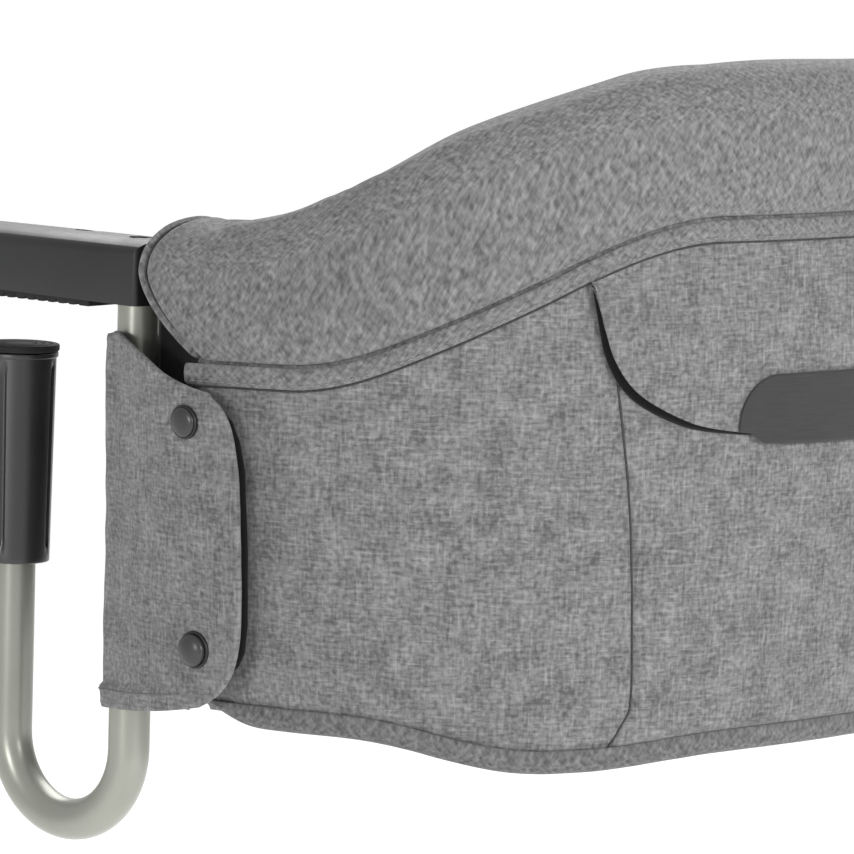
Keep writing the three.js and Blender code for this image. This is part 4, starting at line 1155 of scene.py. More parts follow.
def makeTopCover():
    look = coverLook
    columns, rows = look["columns"], look["rows"]
    pins = []
    for index in range((columns + 1) * (rows + 1)):
        column, row = index % (columns + 1), index // (columns + 1)
        middle = look["pinnedRows"] <= row <= rows - look["pinnedRows"]
        if not middle or not look["pinnedColumns"] <= column <= columns - look["pinnedColumns"]:
            pins.append(index)
    piece = clothPiece("topCoverCloth", look, coverPlace, biasFabric)
    inflate(piece, look["pressure"], look["cap"], pins, look["shrink"])
    thicken(piece, look["thickness"])
    settle(piece, "grey_fabric", "seat_frame", "top_cover")
    inset = look["hemWidth"] / look["endReach"] * look["endShare"]
    spots, first = look["seamSpots"], look["seamStart"]
    # Dark lines near the cover's front edges: stitching, and painted shade of the groove
    for side, end in (("Right", 0.0), ("Left", 1.0)):
        path = [(abs(end - inset), first + (1 - 2 * first) * step / spots) for step in range(spots + 1)]
        seamLine("coverSeam" + side, onSurface(coverPlace, path, 0.0005), look=boldSeam)


makeTopCover()
print("top cover made")

# Post wraps and their snaps

wrapLook = {
    "postX": 0.195, "tubeRadius": 0.008, "clearance": 0.0011, "thickness": 0.0019,
    "innerRearY": 0.0203, "outerRearY": 0.0750, "standOff": 0.0262, "outerRun": 0.046,
    "leanStartY": 0.026, "leanShare": 0.8, "leanTopZ": -0.018, "leanBottomZ": -0.1535,
    "slackTop": 1.10, "slackBottom": 0.94, "slackFade": 0.022,
    "columns": 150, "rows": 90, "innerSteps": 40, "turnSteps": 60, "outerSteps": 160, "frontLevel": -0.011,
    "hemHeight": 0.0080, "hemLift": 0.0015, "hemEase": 0.0012, "hemFadeStart": 0.004, "hemFadeY": 0.050,
    "edgeSink": 0.0005, "edgeReach": 0.0012, "edgeInset": 0.0040, "edgeGroove": 0.00045,
    "grooveReach": 0.0008, "waves": [(0.03, 0.04, 6.6, 0.0008), (0.012, 0.009, 2.6, 0.0003)],
    "seamStart": 0.20, "seamSpan": 0.62, "seamSpots": 160, "seamShare": 0.84, "seamLevel": 0.06,
    "height": 0.139,
    "rowTop": [(-0.0110, -0.0122), (-0.0025, -0.0106), (0.0, -0.0096), (0.0071, -0.0113), (0.0168, -0.0144),
               (0.0253, -0.0176), (0.0355, -0.0216), (0.0492, -0.0254), (0.0600, -0.0270), (0.0750, -0.0282)],
    "rowBottom": [(-0.0110, -0.1552), (0.0101, -0.1538), (0.0251, -0.1522), (0.0450, -0.1488),
                  (0.0600, -0.1454), (0.0750, -0.1410)],
    "rear": [(-0.1464, 0.0540), (-0.1444, 0.0590), (-0.1405, 0.0645), (-0.1340, 0.0693), (-0.1260, 0.0724),
             (-0.1150, 0.0742), (-0.0900, 0.0750), (-0.0600, 0.0744), (-0.0480, 0.0730), (-0.0390, 0.0704),
             (-0.0330, 0.0669), (-0.0290, 0.0625), (-0.0276, 0.0590)],
    "top": [(-0.0110, -0.0122), (-0.0025, -0.0106), (0.0, -0.0096), (0.0071, -0.0113), (0.0168, -0.0144),
            (0.0253, -0.0176), (0.0355, -0.0216), (0.0492, -0.0254), (0.0594, -0.0271), (0.0629, -0.0290),
            (0.0679, -0.0342), (0.0718, -0.0436), (0.0741, -0.0560), (0.0750, -0.0880)],
    "bottom": [(-0.0110, -0.1552), (0.0101, -0.1538), (0.0251, -0.1522), (0.0492, -0.1477),
               (0.0607, -0.1432), (0.0690, -0.1346), (0.0722, -0.1280), (0.0741, -0.1160), (0.0750, -0.0900)],
}


def wrapCourse():
    # Plan of the outer face round one post as (x from the post, y)
    look = wrapLook
    radius = look["tubeRadius"] + look["clearance"] + look["thickness"]
    inner, turns, outer = look["innerSteps"], look["turnSteps"], look["outerSteps"]
    points = [(-radius, look["innerRearY"] * (1 - step / inner)) for step in range(inner)]
    for step in range(turns):
        turn = math.pi * step / turns
        points.append((-radius * math.cos(turn), -radius * math.sin(turn)))
    for step in range(outer + 1):
        y = look["outerRearY"] * step / outer
        part = math.sin(math.pi / 2 * min(1.0, y / look["outerRun"]))
        points.append((radius + (look["standOff"] - radius) * part, y))
    return points


wrapPoints = wrapCourse()
wrapRuns = runsAlong(wrapPoints)
wrapRowEnds = {}


def wrapDown(z):
    return clamped((wrapLook["leanTopZ"] - z) / (wrapLook["leanTopZ"] - wrapLook["leanBottomZ"]))


def wrapLean(y, z):
    spread = wallLook["topOffset"] - wallLook["bottomOffset"]
    return wrapLook["leanShare"] * spread * clamped(y / wrapLook["leanStartY"]) * wrapDown(z)


def wrapRowEnd(t):
    # Running length at which the row with share t of the height meets the rear outline
    rearY = 0.070
    for _ in range(12):
        bottom, top = lineThrough(wrapLook["rowBottom"], rearY), lineThrough(wrapLook["rowTop"], rearY)
        rearY = lineThrough(wrapLook["rear"], bottom + (top - bottom) * t)
    first = next(index for index, point in enumerate(wrapPoints) if point[0] > 0 and point[1] >= 0)
    place = first + (len(wrapPoints) - 1 - first) * min(1.0, rearY / wrapLook["outerRearY"])
    index = min(int(place), len(wrapPoints) - 2)
    return wrapRuns[index] + (wrapRuns[index + 1] - wrapRuns[index]) * (place - index)


def wrapPlace(s, t):
    look = wrapLook
    if t not in wrapRowEnds:
        wrapRowEnds[t] = wrapRowEnd(t)
    last = wrapRowEnds[t]
    run = last * s
    x, y = plan.between(wrapRuns, wrapPoints, run)
    level = y if x > 0 else look["frontLevel"]
    bottom, top = lineThrough(look["rowBottom"], level), lineThrough(look["rowTop"], level)
    z = bottom + (top - bottom) * t
    outward = Vector((x, y, 0)).normalized() if y < 0 else Vector((1 if x > 0 else -1, 0, 0))
    slack = look["slackTop"] + (look["slackBottom"] - look["slackTop"]) * wrapDown(z) - 1
    x *= 1 + slack * (1 - smooth(y / look["slackFade"]))
    y *= 1 + slack * (1 if y < 0 else 0)
    if x > 0:
        x -= wrapLean(y, z)
    edge = min(last - run, top - z, z - bottom)
    lift = -look["edgeSink"] * bell(edge / look["edgeReach"])
    lift -= look["edgeGroove"] * bell((edge - look["edgeInset"]) / look["grooveReach"])
    hem = 1 - smooth((z - bottom - look["hemHeight"]) / look["hemEase"])
    lift += look["hemLift"] * hem * (1 - smooth((y - look["hemFadeStart"]) / look["hemFadeY"]))
    for wave in look["waves"]:
        lift += ripple(run, z, wave)
    point = Vector((look["postX"] + x, y, z)) + outward * lift
    return point, run, z


def wrapSeamSpots():
    # Spots along the top of the wrap's lower hem, as far back as the hem stands out
    look = wrapLook
    level = look["hemHeight"] * look["seamShare"] / look["height"]
    count = look["seamSpots"]
    shares = [look["seamStart"] + look["seamSpan"] * step / count for step in range(count + 1)]
    return [(s, level) for s in shares if wrapPlace(s, look["seamLevel"])[0].y < look["hemFadeY"]]


def makeWraps():
    right = clothPiece("postWrapRight", wrapLook, wrapPlace, fabric)
    path = onSurface(wrapPlace, wrapSeamSpots())
    flipped = [(Vector((-p.x, p.y, p.z)), Vector((-n.x, n.y, n.z))) for p, n in path]
    layPair(right, wrapLook, "folded", "hook_tube_{}", "grey_fabric", "post_wrap_{}")
    for side, row in (("Right", path), ("Left", flipped)):
        seamLine("wrapHemSeam" + side, row, paleThread, flatSeam)


wrapShadowLook = {
    "inside": 0.0175, "outside": -0.0069, "lift": 0.0006, "thickness": 0.0006, "columns": 110, "rows": 8,
    "frontY": 0.045, "rearY": 0.0745, "step": 0.008,
}


def makeBackings():
    # A black strip on the wall beside each wrap's free edge: a painted shadow of the wrap
    look = wrapShadowLook
    outline = [(y, z) for y, z in wrapLook["top"] if y > look["frontY"]]
    outline += [(y, z) for y, z in reversed(wrapLook["bottom"]) if look["frontY"] < y < look["rearY"]]
    runs = runsAlong(outline)

    def spot(run):
        return plan.between(runs, outline, min(max(run, 0), runs[-1]))

    def place(s, t):
        run = s * runs[-1]
        y, z = spot(run)
        (y0, z0), (y1, z1) = spot(run - look["step"]), spot(run + look["step"])
        size = math.dist((y0, z0), (y1, z1))
        outY, outZ = -(z1 - z0) / size, (y1 - y0) / size
        reach = -look["inside"] + (look["inside"] + look["outside"]) * t
        return wallSkin(plan.shareAtY(y + outY * reach), z + outZ * reach, look["lift"])
    right = clothPiece("wrapBackingRight", look, place, blackGusset, flip=True)
    layPair(right, look, "stretched", "seatWallCloth", "dark_fabric")


snapLook = {
    "upper": (0.0489, -0.039), "lower": (0.0524, -0.1250),
    "upperRadius": 0.0056, "upperDome": 0.0030, "lowerRadius": 0.0062, "lowerDome": 0.0050,
    "ringGrow": 1.16, "ringHeight": 0.0012, "sides": 48, "probe": 0.002, "stand": 0.0001,
    "shares": [(0, -0.1), (0.96, -0.1), (0.96, 0.3), (1, 0.40), (1, 0.52), (0.96, 0.62), (0.86, 0.74),
               (0.68, 0.86), (0.46, 0.94), (0.23, 0.985), (0, 1)],
    "ringShares": [(0, -0.3), (0.97, -0.3), (1, 0.1), (1, 0.6), (0.97, 0.9), (0.93, 1), (0.87, 0.95),
                   (0.84, 0.6), (0.83, 0.2), (0, 0.2)],
}


def wrapSpot(y, z):
    # Outer face of the wrap and its normal at a height and depth
    probe = snapLook["probe"]
    reach = []
    for dy, dz in ((0, 0), (probe, 0), (0, probe)):
        x = wrapLook["standOff"] - wrapLean(y + dy, z + dz) + snapLook["stand"]
        reach.append(Vector((wrapLook["postX"] + x, y + dy, z + dz)))
    normal = (reach[1] - reach[0]).cross(reach[2] - reach[0]).normalized()
    return reach[0], normal


def makeSnaps():
    look = snapLook
    for level in ("upper", "lower"):
        radius, dome = look[level + "Radius"], look[level + "Dome"]
        cap = [(r * radius, h * dome) for r, h in look["shares"]]
        ring = [(r * radius * look["ringGrow"], h * look["ringHeight"]) for r, h in look["ringShares"]]
        point, normal = wrapSpot(*look[level])
        for side, sign in bothSides:
            centre = (sign * point.x, point.y, point.z)
            axis = (sign * normal.x, normal.y, normal.z)
            tail = level.capitalize() + side.capitalize()
            piece = finished(turned(cap, look["sides"], centre, axis), "snap" + tail, snapPlastic, 60)
            settle(piece, "black_plastic", "seat_frame", f"snap_{level}_{side}")
            # The ring is black plastic, darker than the cap: partly its own colour, partly painted shade
            # round the cap's base
            rim = finished(turned(ring, look["sides"], centre, axis), "snapRing" + tail, blackPlastic, 50)
            settle(rim, "black_plastic", "seat_frame")


makeWraps()
# Painted shadows on the wall beside the wraps' free edges
makeBackings()
makeSnaps()
print("post wraps and snaps made")

# Lining, gusset, cushion, panels and harness

liningLook = {
    "frontY": 0.031, "bottomZ": -0.1286, "bottomOffset": -0.0055, "topOffset": -0.0195, "channels": 11,
    "channelDepth": 0.0024, "bulge": 0.0020, "thickness": 0.0045, "columns": 220, "rows": 36,
    "topGap": 0.0009, "quiltPower": 0.45, "puffPower": 0.4, "fill": 0.5,
    "stitchStart": 0.04, "stitchSpots": 60,
}


def liningPlace(s, t):
    look = liningLook
    share = plan.shareIn(plan.shareAtY(look["frontY"]), 1 - s)
    top = seamZ(plan.angleAt(share)) - look["topGap"]
    z = look["bottomZ"] + (top - look["bottomZ"]) * t
    base = look["bottomOffset"] + (look["topOffset"] - look["bottomOffset"]) * t
    quilt = abs(math.sin(math.pi * look["channels"] * s)) ** look["quiltPower"]
    puff = look["channelDepth"] * quilt * math.sin(math.pi * t) ** look["puffPower"]
    offset = base + look["channelDepth"] - puff - look["bulge"] * math.sin(math.pi * t)
    return plan.place(share, offset, z), share * plan.length, z


def makeLining():
    look = liningLook
    piece = clothPiece("innerLiningCloth", look, liningPlace, liningFabric)
    thicken(piece, look["thickness"])
    settle(piece, "dark_fabric", "seat_frame", "inner_lining")
    first, spots = look["stitchStart"], look["stitchSpots"]
    levels = [first + (1 - 2 * first) * step / spots for step in range(spots + 1)]
    for channel in range(1, look["channels"]):
        path = onSurface(liningPlace, [(channel / look["channels"], level) for level in levels])
        stitchRow(f"quiltStitches{channel}", path, darkThreadAndSeamShade, "dark_fabric")


gussetLook = {
    "post": (0.1922, 0.0092), "wallY": 0.052, "sink": 0.0022, "bottomZ": -0.146, "topZ": 0.0040,
    "wallTopZ": -0.0150, "bow": 0.0030, "thickness": 0.0010, "columns": 24, "rows": 40, "topPower": 1.4,
    "bowBack": 0.6, "waves": 3, "wave": (1.0, 0.03, 8.8, 0.0008), "flatWidth": 0.046,
}


def makeGussets():
    # Black stretch cloth between each post and the wall's front edge, near black so that it also paints the
    # deep shade of that gap
    look = gussetLook
    share = plan.shareAtY(look["wallY"])
    postX, postY = look["post"]

    def place(s, t):
        top = look["topZ"] + (look["wallTopZ"] - look["topZ"]) * s ** look["topPower"]
        z = look["bottomZ"] + (top - look["bottomZ"]) * t
        end = wallSkin(share, z, -look["sink"])[0]
        x = postX + (end.x - postX) * s
        y = postY + (end.y - postY) * s
        bow = look["bow"] * math.sin(math.pi * s)
        wave = ripple(s * look["waves"], z, look["wave"]) * math.sin(math.pi * s)
        return Vector((x - bow, y + bow * look["bowBack"] + wave, z)), s * look["flatWidth"], z
    right = clothPiece("blackGussetRight", look, place, blackGusset, flip=True)
    layPair(right, look, "stretched", "seatWallCloth", "dark_fabric")


baseLook = {"frontY": 0.0245, "panelOffset": 0.002, "cushionOffset": -0.0055, "steps": 64,
            "panelZ": -0.1470, "panelThickness": 0.0020, "cushionBottomZ": -0.1411, "cushionHeight": 0.011,
            "voxel": 0.0048, "pressure": 4.0, "cap": 0.0062, "fill": 0.6, "areaShare": 0.86,
            "panelEdge": 0.0007, "stitchInset": 0.009, "frontInset": 0.007, "frontSpots": 60}


def baseOutline(offset):
    start = plan.shareAtY(baseLook["frontY"])
    steps = baseLook["steps"]
    return [plan.place(start + (1 - 2 * start) * step / steps, offset, 0) for step in range(steps + 1)]


def extruded(points, shift):
    # A flat outline drawn out into a solid
    shape = bmesh.new()
    face = shape.faces.new([shape.verts.new(point) for point in points])
    grown = bmesh.ops.extrude_face_region(shape, geom=[face])
    moved = [item for item in grown["geom"] if isinstance(item, bmesh.types.BMVert)]
    bmesh.ops.translate(shape, vec=shift, verts=moved)
    bmesh.ops.recalc_face_normals(shape, faces=shape.faces)
    return shape


def remeshed(piece, voxel):
    grid = piece.modifiers.new("grid", "REMESH")
    grid.mode = "VOXEL"
    grid.voxel_size = voxel
    grid.use_smooth_shade = True
    shown = piece.evaluated_get(bpy.context.evaluated_depsgraph_get())
    mesh = bpy.data.meshes.new_from_object(shown)
    material = piece.data.materials[0]
    piece.modifiers.clear()
    piece.data = mesh
    mesh.materials.clear()
    mesh.materials.append(material)
    for polygon in mesh.polygons:
        polygon.use_smooth = True


def makeCushion():
    look = baseLook
    outline = [(point.x, point.y, look["cushionBottomZ"]) for point in baseOutline(look["cushionOffset"])]
    piece = finished(extruded(outline, (0, 0, look["cushionHeight"])), "baseCushionPad", cushionFabric)
    remeshed(piece, look["voxel"])
    inflate(piece, look["pressure"], look["cap"])
    for vertex in piece.data.vertices:
        vertex.co.z = max(vertex.co.z, look["cushionBottomZ"])
    soften(piece)
    settle(piece, "dark_fabric", "seat_frame", "base_cushion")
    return piece


def makeBottomPanel():
    look = baseLook
    outline = baseOutline(look["panelOffset"])
    floor = [(point.x, point.y, look["panelZ"]) for point in outline]
    shape = extruded(floor, (0, 0, look["panelThickness"]))
    layer = shape.loops.layers.uv.new("cloth")
    for face in shape.faces:
        for loop in face.loops:
            loop[layer].uv = (loop.vert.co.x, loop.vert.co.y)
    bevelled(shape, [edge for edge in shape.edges if edge.calc_face_angle(0) > 1.0], look["panelEdge"], 3)
    piece = finished(shape, "bottomPanelCloth", underFabric, 50)
    settle(piece, "grey_fabric", "seat_frame", "bottom_panel")
    inset = baseOutline(look["panelOffset"] - look["stitchInset"])
    line = [Vector((point.x, point.y, look["panelZ"])) for point in inset]
    half = look["frontSpots"] / 2
    frontY = look["frontY"] + look["frontInset"]
    line += [Vector((line[-1].x * (1 - step / half), frontY, look["panelZ"]))
             for step in range(look["frontSpots"] + 1)]
    stitchRow("panelStitches", [(point, Vector((0, 0, -1))) for point in line], darkThreadAndSeamShade)


makeLining()
makeGussets()
cushion = makeCushion()
makeBottomPanel()
print("lining, gussets, cushion and bottom panel made")

frontLook = {
    "backY": 0.0256, "frontY": 0.0218, "endX": 0.1868, "endTopZ": -0.0245, "endBottomZ": -0.0515,
    "middleTopZ": -0.042, "crotchTop": 0.046, "crotchWaist": 0.034, "crotchBottom": 0.0435,
    "archZ": -0.066, "bottomZ": -0.1284, "flare": 0.0165, "steps": 22, "voxel": 0.0028, "pressure": 3.0,
    "cap": 0.0016, "fill": 0.4,
}


def bend(first, control, last, steps):
    points = []
    for step in range(1, steps + 1):
        t = step / steps
        x = (1 - t) ** 2 * first[0] + 2 * (1 - t) * t * control[0] + t * t * last[0]
        z = (1 - t) ** 2 * first[1] + 2 * (1 - t) * t * control[1] + t * t * last[1]
        points.append((x, z))
    return points


def frontOutline():
    look = frontLook
    steps = look["steps"]
    waistZ = (look["archZ"] + look["bottomZ"]) / 2
    flareZ = look["bottomZ"] + look["flare"]
    half = [(look["endX"], look["endTopZ"]), (look["endX"], look["endBottomZ"])]
    half += bend(half[-1], (look["crotchTop"], look["archZ"]), (look["crotchWaist"], waistZ), steps)
    half += bend(half[-1], (look["crotchWaist"], flareZ), (look["crotchBottom"], look["bottomZ"]), steps // 2)
    crest = 2 * look["middleTopZ"] - look["endTopZ"]
    top = bend((-look["endX"], look["endTopZ"]), (0, crest), (look["endX"], look["endTopZ"]), steps)
    return half + [(-x, z) for x, z in reversed(half)] + top[:-1]


def makeFrontPanel():
    look = frontLook
    outline = [(x, look["frontY"], z) for x, z in frontOutline()]
    shape = extruded(outline, (0, look["backY"] - look["frontY"], 0))
    piece = finished(shape, "frontPanelPad", frontFabric)
    remeshed(piece, look["voxel"])
    inflate(piece, look["pressure"], look["cap"])
    soften(piece)
    settle(piece, "grey_fabric", "seat_frame", "front_panel")


makeFrontPanel()
print("front panel made")

strapLook = {"width": 0.025, "thickness": 0.0015, "centreY": 0.092, "startX": 0.0284, "endX": 0.1675,
             "riseX": 0.107, "lift": 0.0195, "clear": 0.0006, "columns": 90, "rows": 8, "buckleRise": 0.0035,
             "buckleRun": 0.02, "crotchStartY": 0.0266, "crotchEndY": 0.0735, "crotchRise": 0.003,
             "crotchRows": 40}


def groundUnder(piece):
    graph = bpy.context.evaluated_depsgraph_get()
    tree = BVHTree.FromObject(piece, graph)
    down = Vector((0, 0, -1))

    def height(x, y):
        hit = tree.ray_cast(Vector((x, y, 0.05)), down)[0]
        return hit.z if hit else baseLook["cushionBottomZ"] + baseLook["cushionHeight"]
    return height


def makeStraps(ground):
    look = strapLook
    above = look["clear"] + look["thickness"]

    def lapPlace(s, t):
        x = look["startX"] + (look["endX"] - look["startX"]) * s
        y = look["centreY"] + (t - 0.5) * look["width"]
        rise = look["lift"] * smooth((x - look["riseX"]) / (look["endX"] - look["riseX"]))
        buckle = look["buckleRise"] * (1 - smooth((x - look["startX"]) / look["buckleRun"]))
        z = ground(x, look["centreY"]) + above + rise + buckle
        return Vector((x, y, z)), x, (t - 0.5) * look["width"]
    right = clothPiece("lapStrapRight", look, lapPlace, webbing)
    layPair(right, look, "laid", "baseCushionPad", "black_webbing", "lap_strap_{}", levels=1)

    def crotchPlace(s, t):
        x = (s - 0.5) * look["width"]
        y = look["crotchStartY"] + (look["crotchEndY"] - look["crotchStartY"]) * t
        return Vector((x, y, ground(0, y) + above + look["crotchRise"] * smooth(t * 2 - 1))), y, x
    piece = finished(clothGrid(look["rows"], look["crotchRows"], crotchPlace), "crotchStrapWeb", webbing)
    laySheet(piece, look, "laid", ["baseCushionPad"], "black_webbing", "crotch_strap", levels=1)


makeStraps(groundUnder(cushion))
print("harness straps made")

# Frame tubes, clamps, arms and small hard parts

tubeLook = {"radius": 0.008, "bendRadius": 0.0316, "bendCentreZ": -0.1713, "topZ": 0.024, "legTopZ": -0.0910,
            "railFrontY": 0.026, "hookSides": 40, "railSides": 32}


def hookPath(sign):
    look = tubeLook
    post = look["topZ"] - look["bendCentreZ"]
    leg = look["legTopZ"] - look["bendCentreZ"]
    arc = math.pi * look["bendRadius"]
    centre = course["halfSpacing"] * sign

    def path(s):
        run = s * (post + leg + arc)
        if run < post:
            return Vector((centre, 0, look["topZ"] - run))
        turn = (run - post) / look["bendRadius"]
        if turn < math.pi:
            y = -look["bendRadius"] * (1 - math.cos(turn))
            return Vector((centre, y, look["bendCentreZ"] - look["bendRadius"] * math.sin(turn)))
        return Vector((centre, -2 * look["bendRadius"], look["bendCentreZ"] + run - post - arc))
    return path


def railPath(s):
    share = plan.shareIn(plan.shareAtY(tubeLook["railFrontY"]), s)
    return plan.place(share, 0, railZ(plan.angleAt(share)))


def makeTubes():
    look = tubeLook
    for side, sign in bothSides:
        name = "hookTube" + side.capitalize()
        piece = tubePiece(name, hookPath(sign), look["radius"], paint, look["hookSides"], (1, 0, 0))
        settle(piece, "frame_paint", "arm_assembly_" + side, "hook_tube_" + side)
    piece = tubePiece("rearRailTube", railPath, look["radius"], paint, look["railSides"], (0, 0, 1))
    settle(piece, "frame_paint", "seat_frame", "rear_rail")


makeTubes()

clampLook = {
    "legY": -0.0632, "topZ": -0.0234, "bottomZ": -0.1053, "flangeRadius": 0.0152, "flange": 0.0022,
    "topRadius": 0.0145, "bottomRadius": 0.0133, "collarRadius": 0.0085, "steps": 180,
    "boreRadius": 0.011, "collar": 0.005, "roof": 0.0048, "grooves": 4, "grooveTurn": 20.0,
    "grooveHalfWidth": 0.0012, "grooveDepth": 0.0011, "padRadius": 0.0156, "padTopZ": -0.0205,
    "padThickness": 0.0026, "stemRadius": 0.0049, "stem": 0.0021, "edge": 0.0006, "stemGap": 0.0004,
    "sleeveRows": 34, "grooveBottom": 0.007, "grooveTop": 0.0045, "padSides": 64,
    "padRings": (0.0125, 0.0095, 0.0065), "padRingDepth": 0.0005,
}


def arcCorner(radius, height, size, quarter, steps=4):
    # Points of a rounded profile corner; quarter counts round from the outer lower one
    points = []
    for step in range(steps + 1):
        turn = math.radians(-90 + 90 * quarter + 90 * step / steps)
        points.append((radius + size * math.cos(turn), height + size * math.sin(turn)))
    return points


def sleeveProfile():
    look = clampLook
    edge = look["edge"]
    collar = look["collarRadius"]
    lowSide = look["bottomRadius"] - edge
    points = [(collar, look["bottomZ"] + edge), (collar + edge, look["bottomZ"])]
    points += arcCorner(lowSide, look["bottomZ"] + edge, edge, 0)
    neckZ = look["topZ"] - look["flange"]
    rows = look["sleeveRows"]
    for row in range(1, rows + 1):
        part = row / rows
        radius = look["bottomRadius"] + (look["topRadius"] - look["bottomRadius"]) * part
        points.append((radius, look["bottomZ"] + edge + (neckZ - look["bottomZ"] - edge) * part))
    points += arcCorner(look["flangeRadius"] - edge, neckZ + edge, edge, 0)
    points += arcCorner(look["flangeRadius"] - edge, look["topZ"] - edge, edge, 1)
    inner = look["topZ"] - look["roof"]
    well = look["topZ"] - look["stem"] - look["stemGap"]
    wellRadius = look["stemRadius"] + look["stemGap"]
    collarTop = look["bottomZ"] + look["collar"]
    points += [(wellRadius, look["topZ"]), (wellRadius, well), (0, well)]
    points += [(0, inner), (look["boreRadius"], inner), (look["boreRadius"], collarTop), (collar, collarTop)]
    return points + [points[0]]


def makeSleeves():
    look = clampLook
    for side, sign in bothSides:
        shape = turned(sleeveProfile(), look["steps"], (0, 0, 0))
        low = look["bottomZ"] + look["grooveBottom"]
        high = look["topZ"] - look["flange"] - look["grooveTop"]
        for vertex in shape.verts:
            radius = math.hypot(vertex.co.x, vertex.co.y)
            if radius < look["bottomRadius"] - 0.001 or not low < vertex.co.z < high:
                continue
            quarter = 2 * math.pi / look["grooves"]
            turn = math.atan2(vertex.co.y, vertex.co.x) - sign * math.radians(look["grooveTurn"])
            off = abs((turn + quarter / 2) % quarter - quarter / 2) * radius
            if off < look["grooveHalfWidth"] * 1.3:
                depth = look["grooveDepth"] * (1 - smooth(off / look["grooveHalfWidth"] - 0.3))
                vertex.co.x *= 1 - depth / radius
                vertex.co.y *= 1 - depth / radius
        centre = Vector((sign * course["halfSpacing"], look["legY"], 0))
        bmesh.ops.translate(shape, vec=centre, verts=shape.verts)
        piece = finished(shape, "clampSleeve" + side.capitalize(), sleevePlastic, 45)
        settle(piece, "black_plastic", "sleeve_" + side, "clamp_sleeve_" + side)


def makePads():
    look = clampLook
    bottom = look["padTopZ"] - look["padThickness"]
    edge = look["edge"]
    stem = bottom - look["stem"]
    profile = [(0, stem), (look["stemRadius"], stem), (look["stemRadius"], bottom)]
    profile += arcCorner(look["padRadius"] - edge, bottom + edge, edge, 0)
    profile += arcCorner(look["padRadius"] - edge, look["padTopZ"] - edge, edge, 1)
    top, depth = look["padTopZ"], look["padRingDepth"]
    for ring in look["padRings"]:
        profile += [(ring + depth, top), (ring, top - depth), (ring - depth, top)]
    profile += [(0, look["padTopZ"])]
    for side, sign in bothSides:
        shape = turned(profile, look["padSides"], (sign * course["halfSpacing"], look["legY"], 0))
        piece = finished(shape, "clampPad" + side.capitalize(), rubber, 40)
        settle(piece, "black_rubber", "pad_" + side, "clamp_pad_" + side)


buttonLook = {"inward": 0.007, "forward": 0.034, "radius": 0.005, "topZ": 0.0232, "height": 0.0045,
              "edge": 0.0008, "dish": [(0.0032, 0.0001), (0.0028, 0.0005), (0, 0.0007)]}


def makeButtons():
    look = buttonLook
    bottom = look["topZ"] - look["height"]
    edge = look["edge"]
    profile = [(0, bottom), (look["radius"], bottom), (look["radius"], look["topZ"] - edge)]
    profile += arcCorner(look["radius"] - edge, look["topZ"] - edge, edge, 1)
    profile += [(radius, look["topZ"] - drop) for radius, drop in look["dish"]]
    for side, sign in bothSides:
        centre = (sign * (course["halfSpacing"] - look["inward"]), -look["forward"], 0)
        piece = finished(turned(profile, 40, centre), "foldButton" + side.capitalize(), blackPlastic, 40)
        settle(piece, "black_plastic", "button_" + side, "fold_button_" + side)


springLook = {"radius": 0.003, "wire": 0.00045, "turns": 5, "bottomZ": 0.00875, "topZ": 0.01805,
              "pressedShare": 0.73}


def makeSprings():
    look = springLook
    for side, sign in bothSides:
        middle = (sign * (course["halfSpacing"] - buttonLook["inward"]), -buttonLook["forward"])

        def outward(s):
            turn = 2 * math.pi * look["turns"] * s
            return Vector((math.cos(turn), math.sin(turn), 0))

        def path(s):
            height = look["bottomZ"] + (look["topZ"] - look["bottomZ"]) * s
            return Vector((*middle, height)) + outward(s) * look["radius"]
        piece = tubePiece("buttonSpring" + side.capitalize(), path, look["wire"], steel, 10, outward)
        settle(piece, "bright_steel", "arm_assembly_" + side, "button_spring_" + side)
        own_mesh(piece)


armLook = {"shoulderZ": 0.0205, "crown": 0.0065, "lowShoulderZ": 0.0190, "crestZ": 0.0255,
           "soleZ": 0.0026, "soleY": -0.012, "rimZ": 0.0015, "gripWiden": 1.32, "toothDrop": 0.0010,
           "toothZ": 0.0008, "screwDrop": 0.0018, "crownPower": 0.6}


def crownedArm(point):
    # A crown that rounds down over the side, and a lower rim that leaves the teeth in view
    z = point.z
    if z > armLook["shoulderZ"] - 1e-5:
        share = max(0.0, (z - armLook["shoulderZ"]) / armLook["crown"])
        height = armLook["crestZ"] - armLook["lowShoulderZ"]
        z = armLook["lowShoulderZ"] + height * share ** armLook["crownPower"]
    elif z < armLook["rimZ"] and point.y < armLook["soleY"]:
        z = armLook["soleZ"]
    return Vector((point.x, point.y, z))


def wideGrip(point):
    centre = math.copysign(course["halfSpacing"], point.x)
    drop = armLook["toothDrop"] if point.z < armLook["toothZ"] else 0.0
    return Vector((centre + (point.x - centre) * armLook["gripWiden"], point.y, point.z - drop))


def sunkScrew(point):
    drop = armLook["screwDrop"] if point.z > armLook["shoulderZ"] else 0.0
    return Vector((point.x, point.y, point.z - drop))


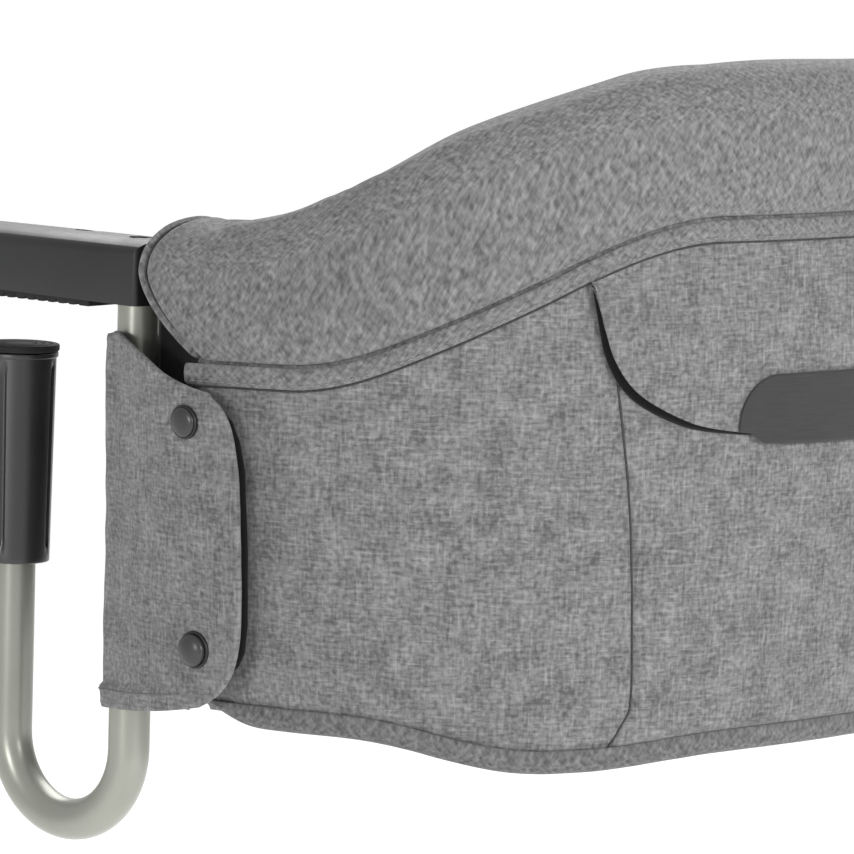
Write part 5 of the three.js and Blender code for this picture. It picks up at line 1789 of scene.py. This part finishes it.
def makeHardParts():
    # Node, piece, material, edge width, slot, body and reshaping, on each side and then in the middle
    paired = [
        ("arm_", "armShell", armPlastic, 0.0019, "arm_plastic", "arm_assembly_", crownedArm),
        ("arm_grip_", "armGrip", rubber, 0.0003, "black_rubber", "arm_assembly_", wideGrip),
        ("arm_screw_", "armScrew", steel, 0.0003, "bright_steel", "arm_assembly_", sunkScrew),
        ("leg_plug_", "legPlug", blackPlastic, 0.0004, "black_plastic", "arm_assembly_", None),
        ("latch_bolt_", "latchBolt", steel, 0.0003, "bright_steel", "bolt_", None),
        ("rail_socket_", "railSocket", blackPlastic, 0.0006, "black_plastic", "", None),
        ("buckle_tongue_", "tongue", blackPlastic, 0.0004, "black_plastic", "", None),
    ]
    for side, _ in bothSides:
        for node, name, material, width, slot, body, reshape in paired:
            piece = roundedCopy(node + side, name + side.capitalize(), material, width, reshape=reshape)
            settle(piece, slot, body + side if body else "seat_frame", node + side)
    single = [
        ("buckle_housing", "buckleHousing", blackPlastic, 0.0012, 3, "seat_frame"),
        ("buckle_button", "buckleButton", snapPlastic, 0.0008, 3, "release_button"),
        ("base_board", "baseBoard", blackPlastic, 0.0005, 2, "seat_frame"),
    ]
    for node, name, material, width, segments, body in single:
        settle(roundedCopy(node, name, material, width, segments), "black_plastic", body, node)


makeSleeves()
makePads()
makeButtons()
makeSprings()
makeHardParts()
print("tubes, clamps, arms and small parts made")

# Floor, light and background

studio = {
    "floorZ": -0.6, "floorSize": 60.0, "floorTone": 0.9, "floorGlow": 0.36, "worldTone": 1.0,
    "worldStrength": 0.76,
    "lights": [
        # name, degrees right of the camera, distance, height, power, size
        ("sideLight", -38, 1.7, 0.15, 9.0, 0.28),
        ("keyLight", 44, 1.9, 0.50, 30.0, 0.6),
        ("crownLight", 176, 1.3, 1.35, 34.0, 1.5),
    ],
}


def addFloor():
    shape = bmesh.new()
    bmesh.ops.create_grid(shape, x_segments=1, y_segments=1, size=studio["floorSize"] / 2)
    bmesh.ops.translate(shape, vec=(0, 0, studio["floorZ"]), verts=shape.verts)
    finish = Finish("paleFloor")
    place = finish.objectPlace()
    speck = finish.noise(place, 3, 3)
    tone = studio["floorTone"]
    pale = finish.ramp(speck, [(0.3, grey(tone * 0.99)), (0.7, grey(tone))])
    finish.set(
        baseColor=pale, roughness=0.9, specularIORLevel=0.1, emissionColor=pale,
        emissionStrength=studio["floorGlow"],
    )
    finished(shape, "studioFloor", finish.material)


def addLights():
    right, up, forward = cameraAxes()
    middle = Vector(cameraView["aim"])
    for name, degrees, reach, height, power, size in studio["lights"]:
        turn = math.radians(degrees)
        towards = -forward * math.cos(turn) + right * math.sin(turn)
        towards.z = 0
        place = middle + towards.normalized() * reach + Vector((0, 0, height))
        lamp = bpy.data.lights.new(name, "AREA")
        lamp.energy = power
        lamp.size = size
        light = bpy.data.objects.new(name, lamp)
        bpy.context.collection.objects.link(light)
        aimed = (middle - place).to_track_quat("-Z", "Y").to_matrix().to_4x4()
        light.matrix_world = Matrix.Translation(place) @ aimed


def addWorld():
    world = bpy.data.worlds.new("studioWorld")
    world.use_nodes = True
    background = world.node_tree.nodes["Background"]
    background.inputs["Color"].default_value = (*grey(studio["worldTone"]), 1)
    background.inputs["Strength"].default_value = studio["worldStrength"]
    bpy.context.scene.world = world
    bpy.context.scene.view_settings.view_transform = "Standard"
    bpy.context.scene.view_settings.look = "None"


addFloor()
addLights()
addWorld()
print("studio made")
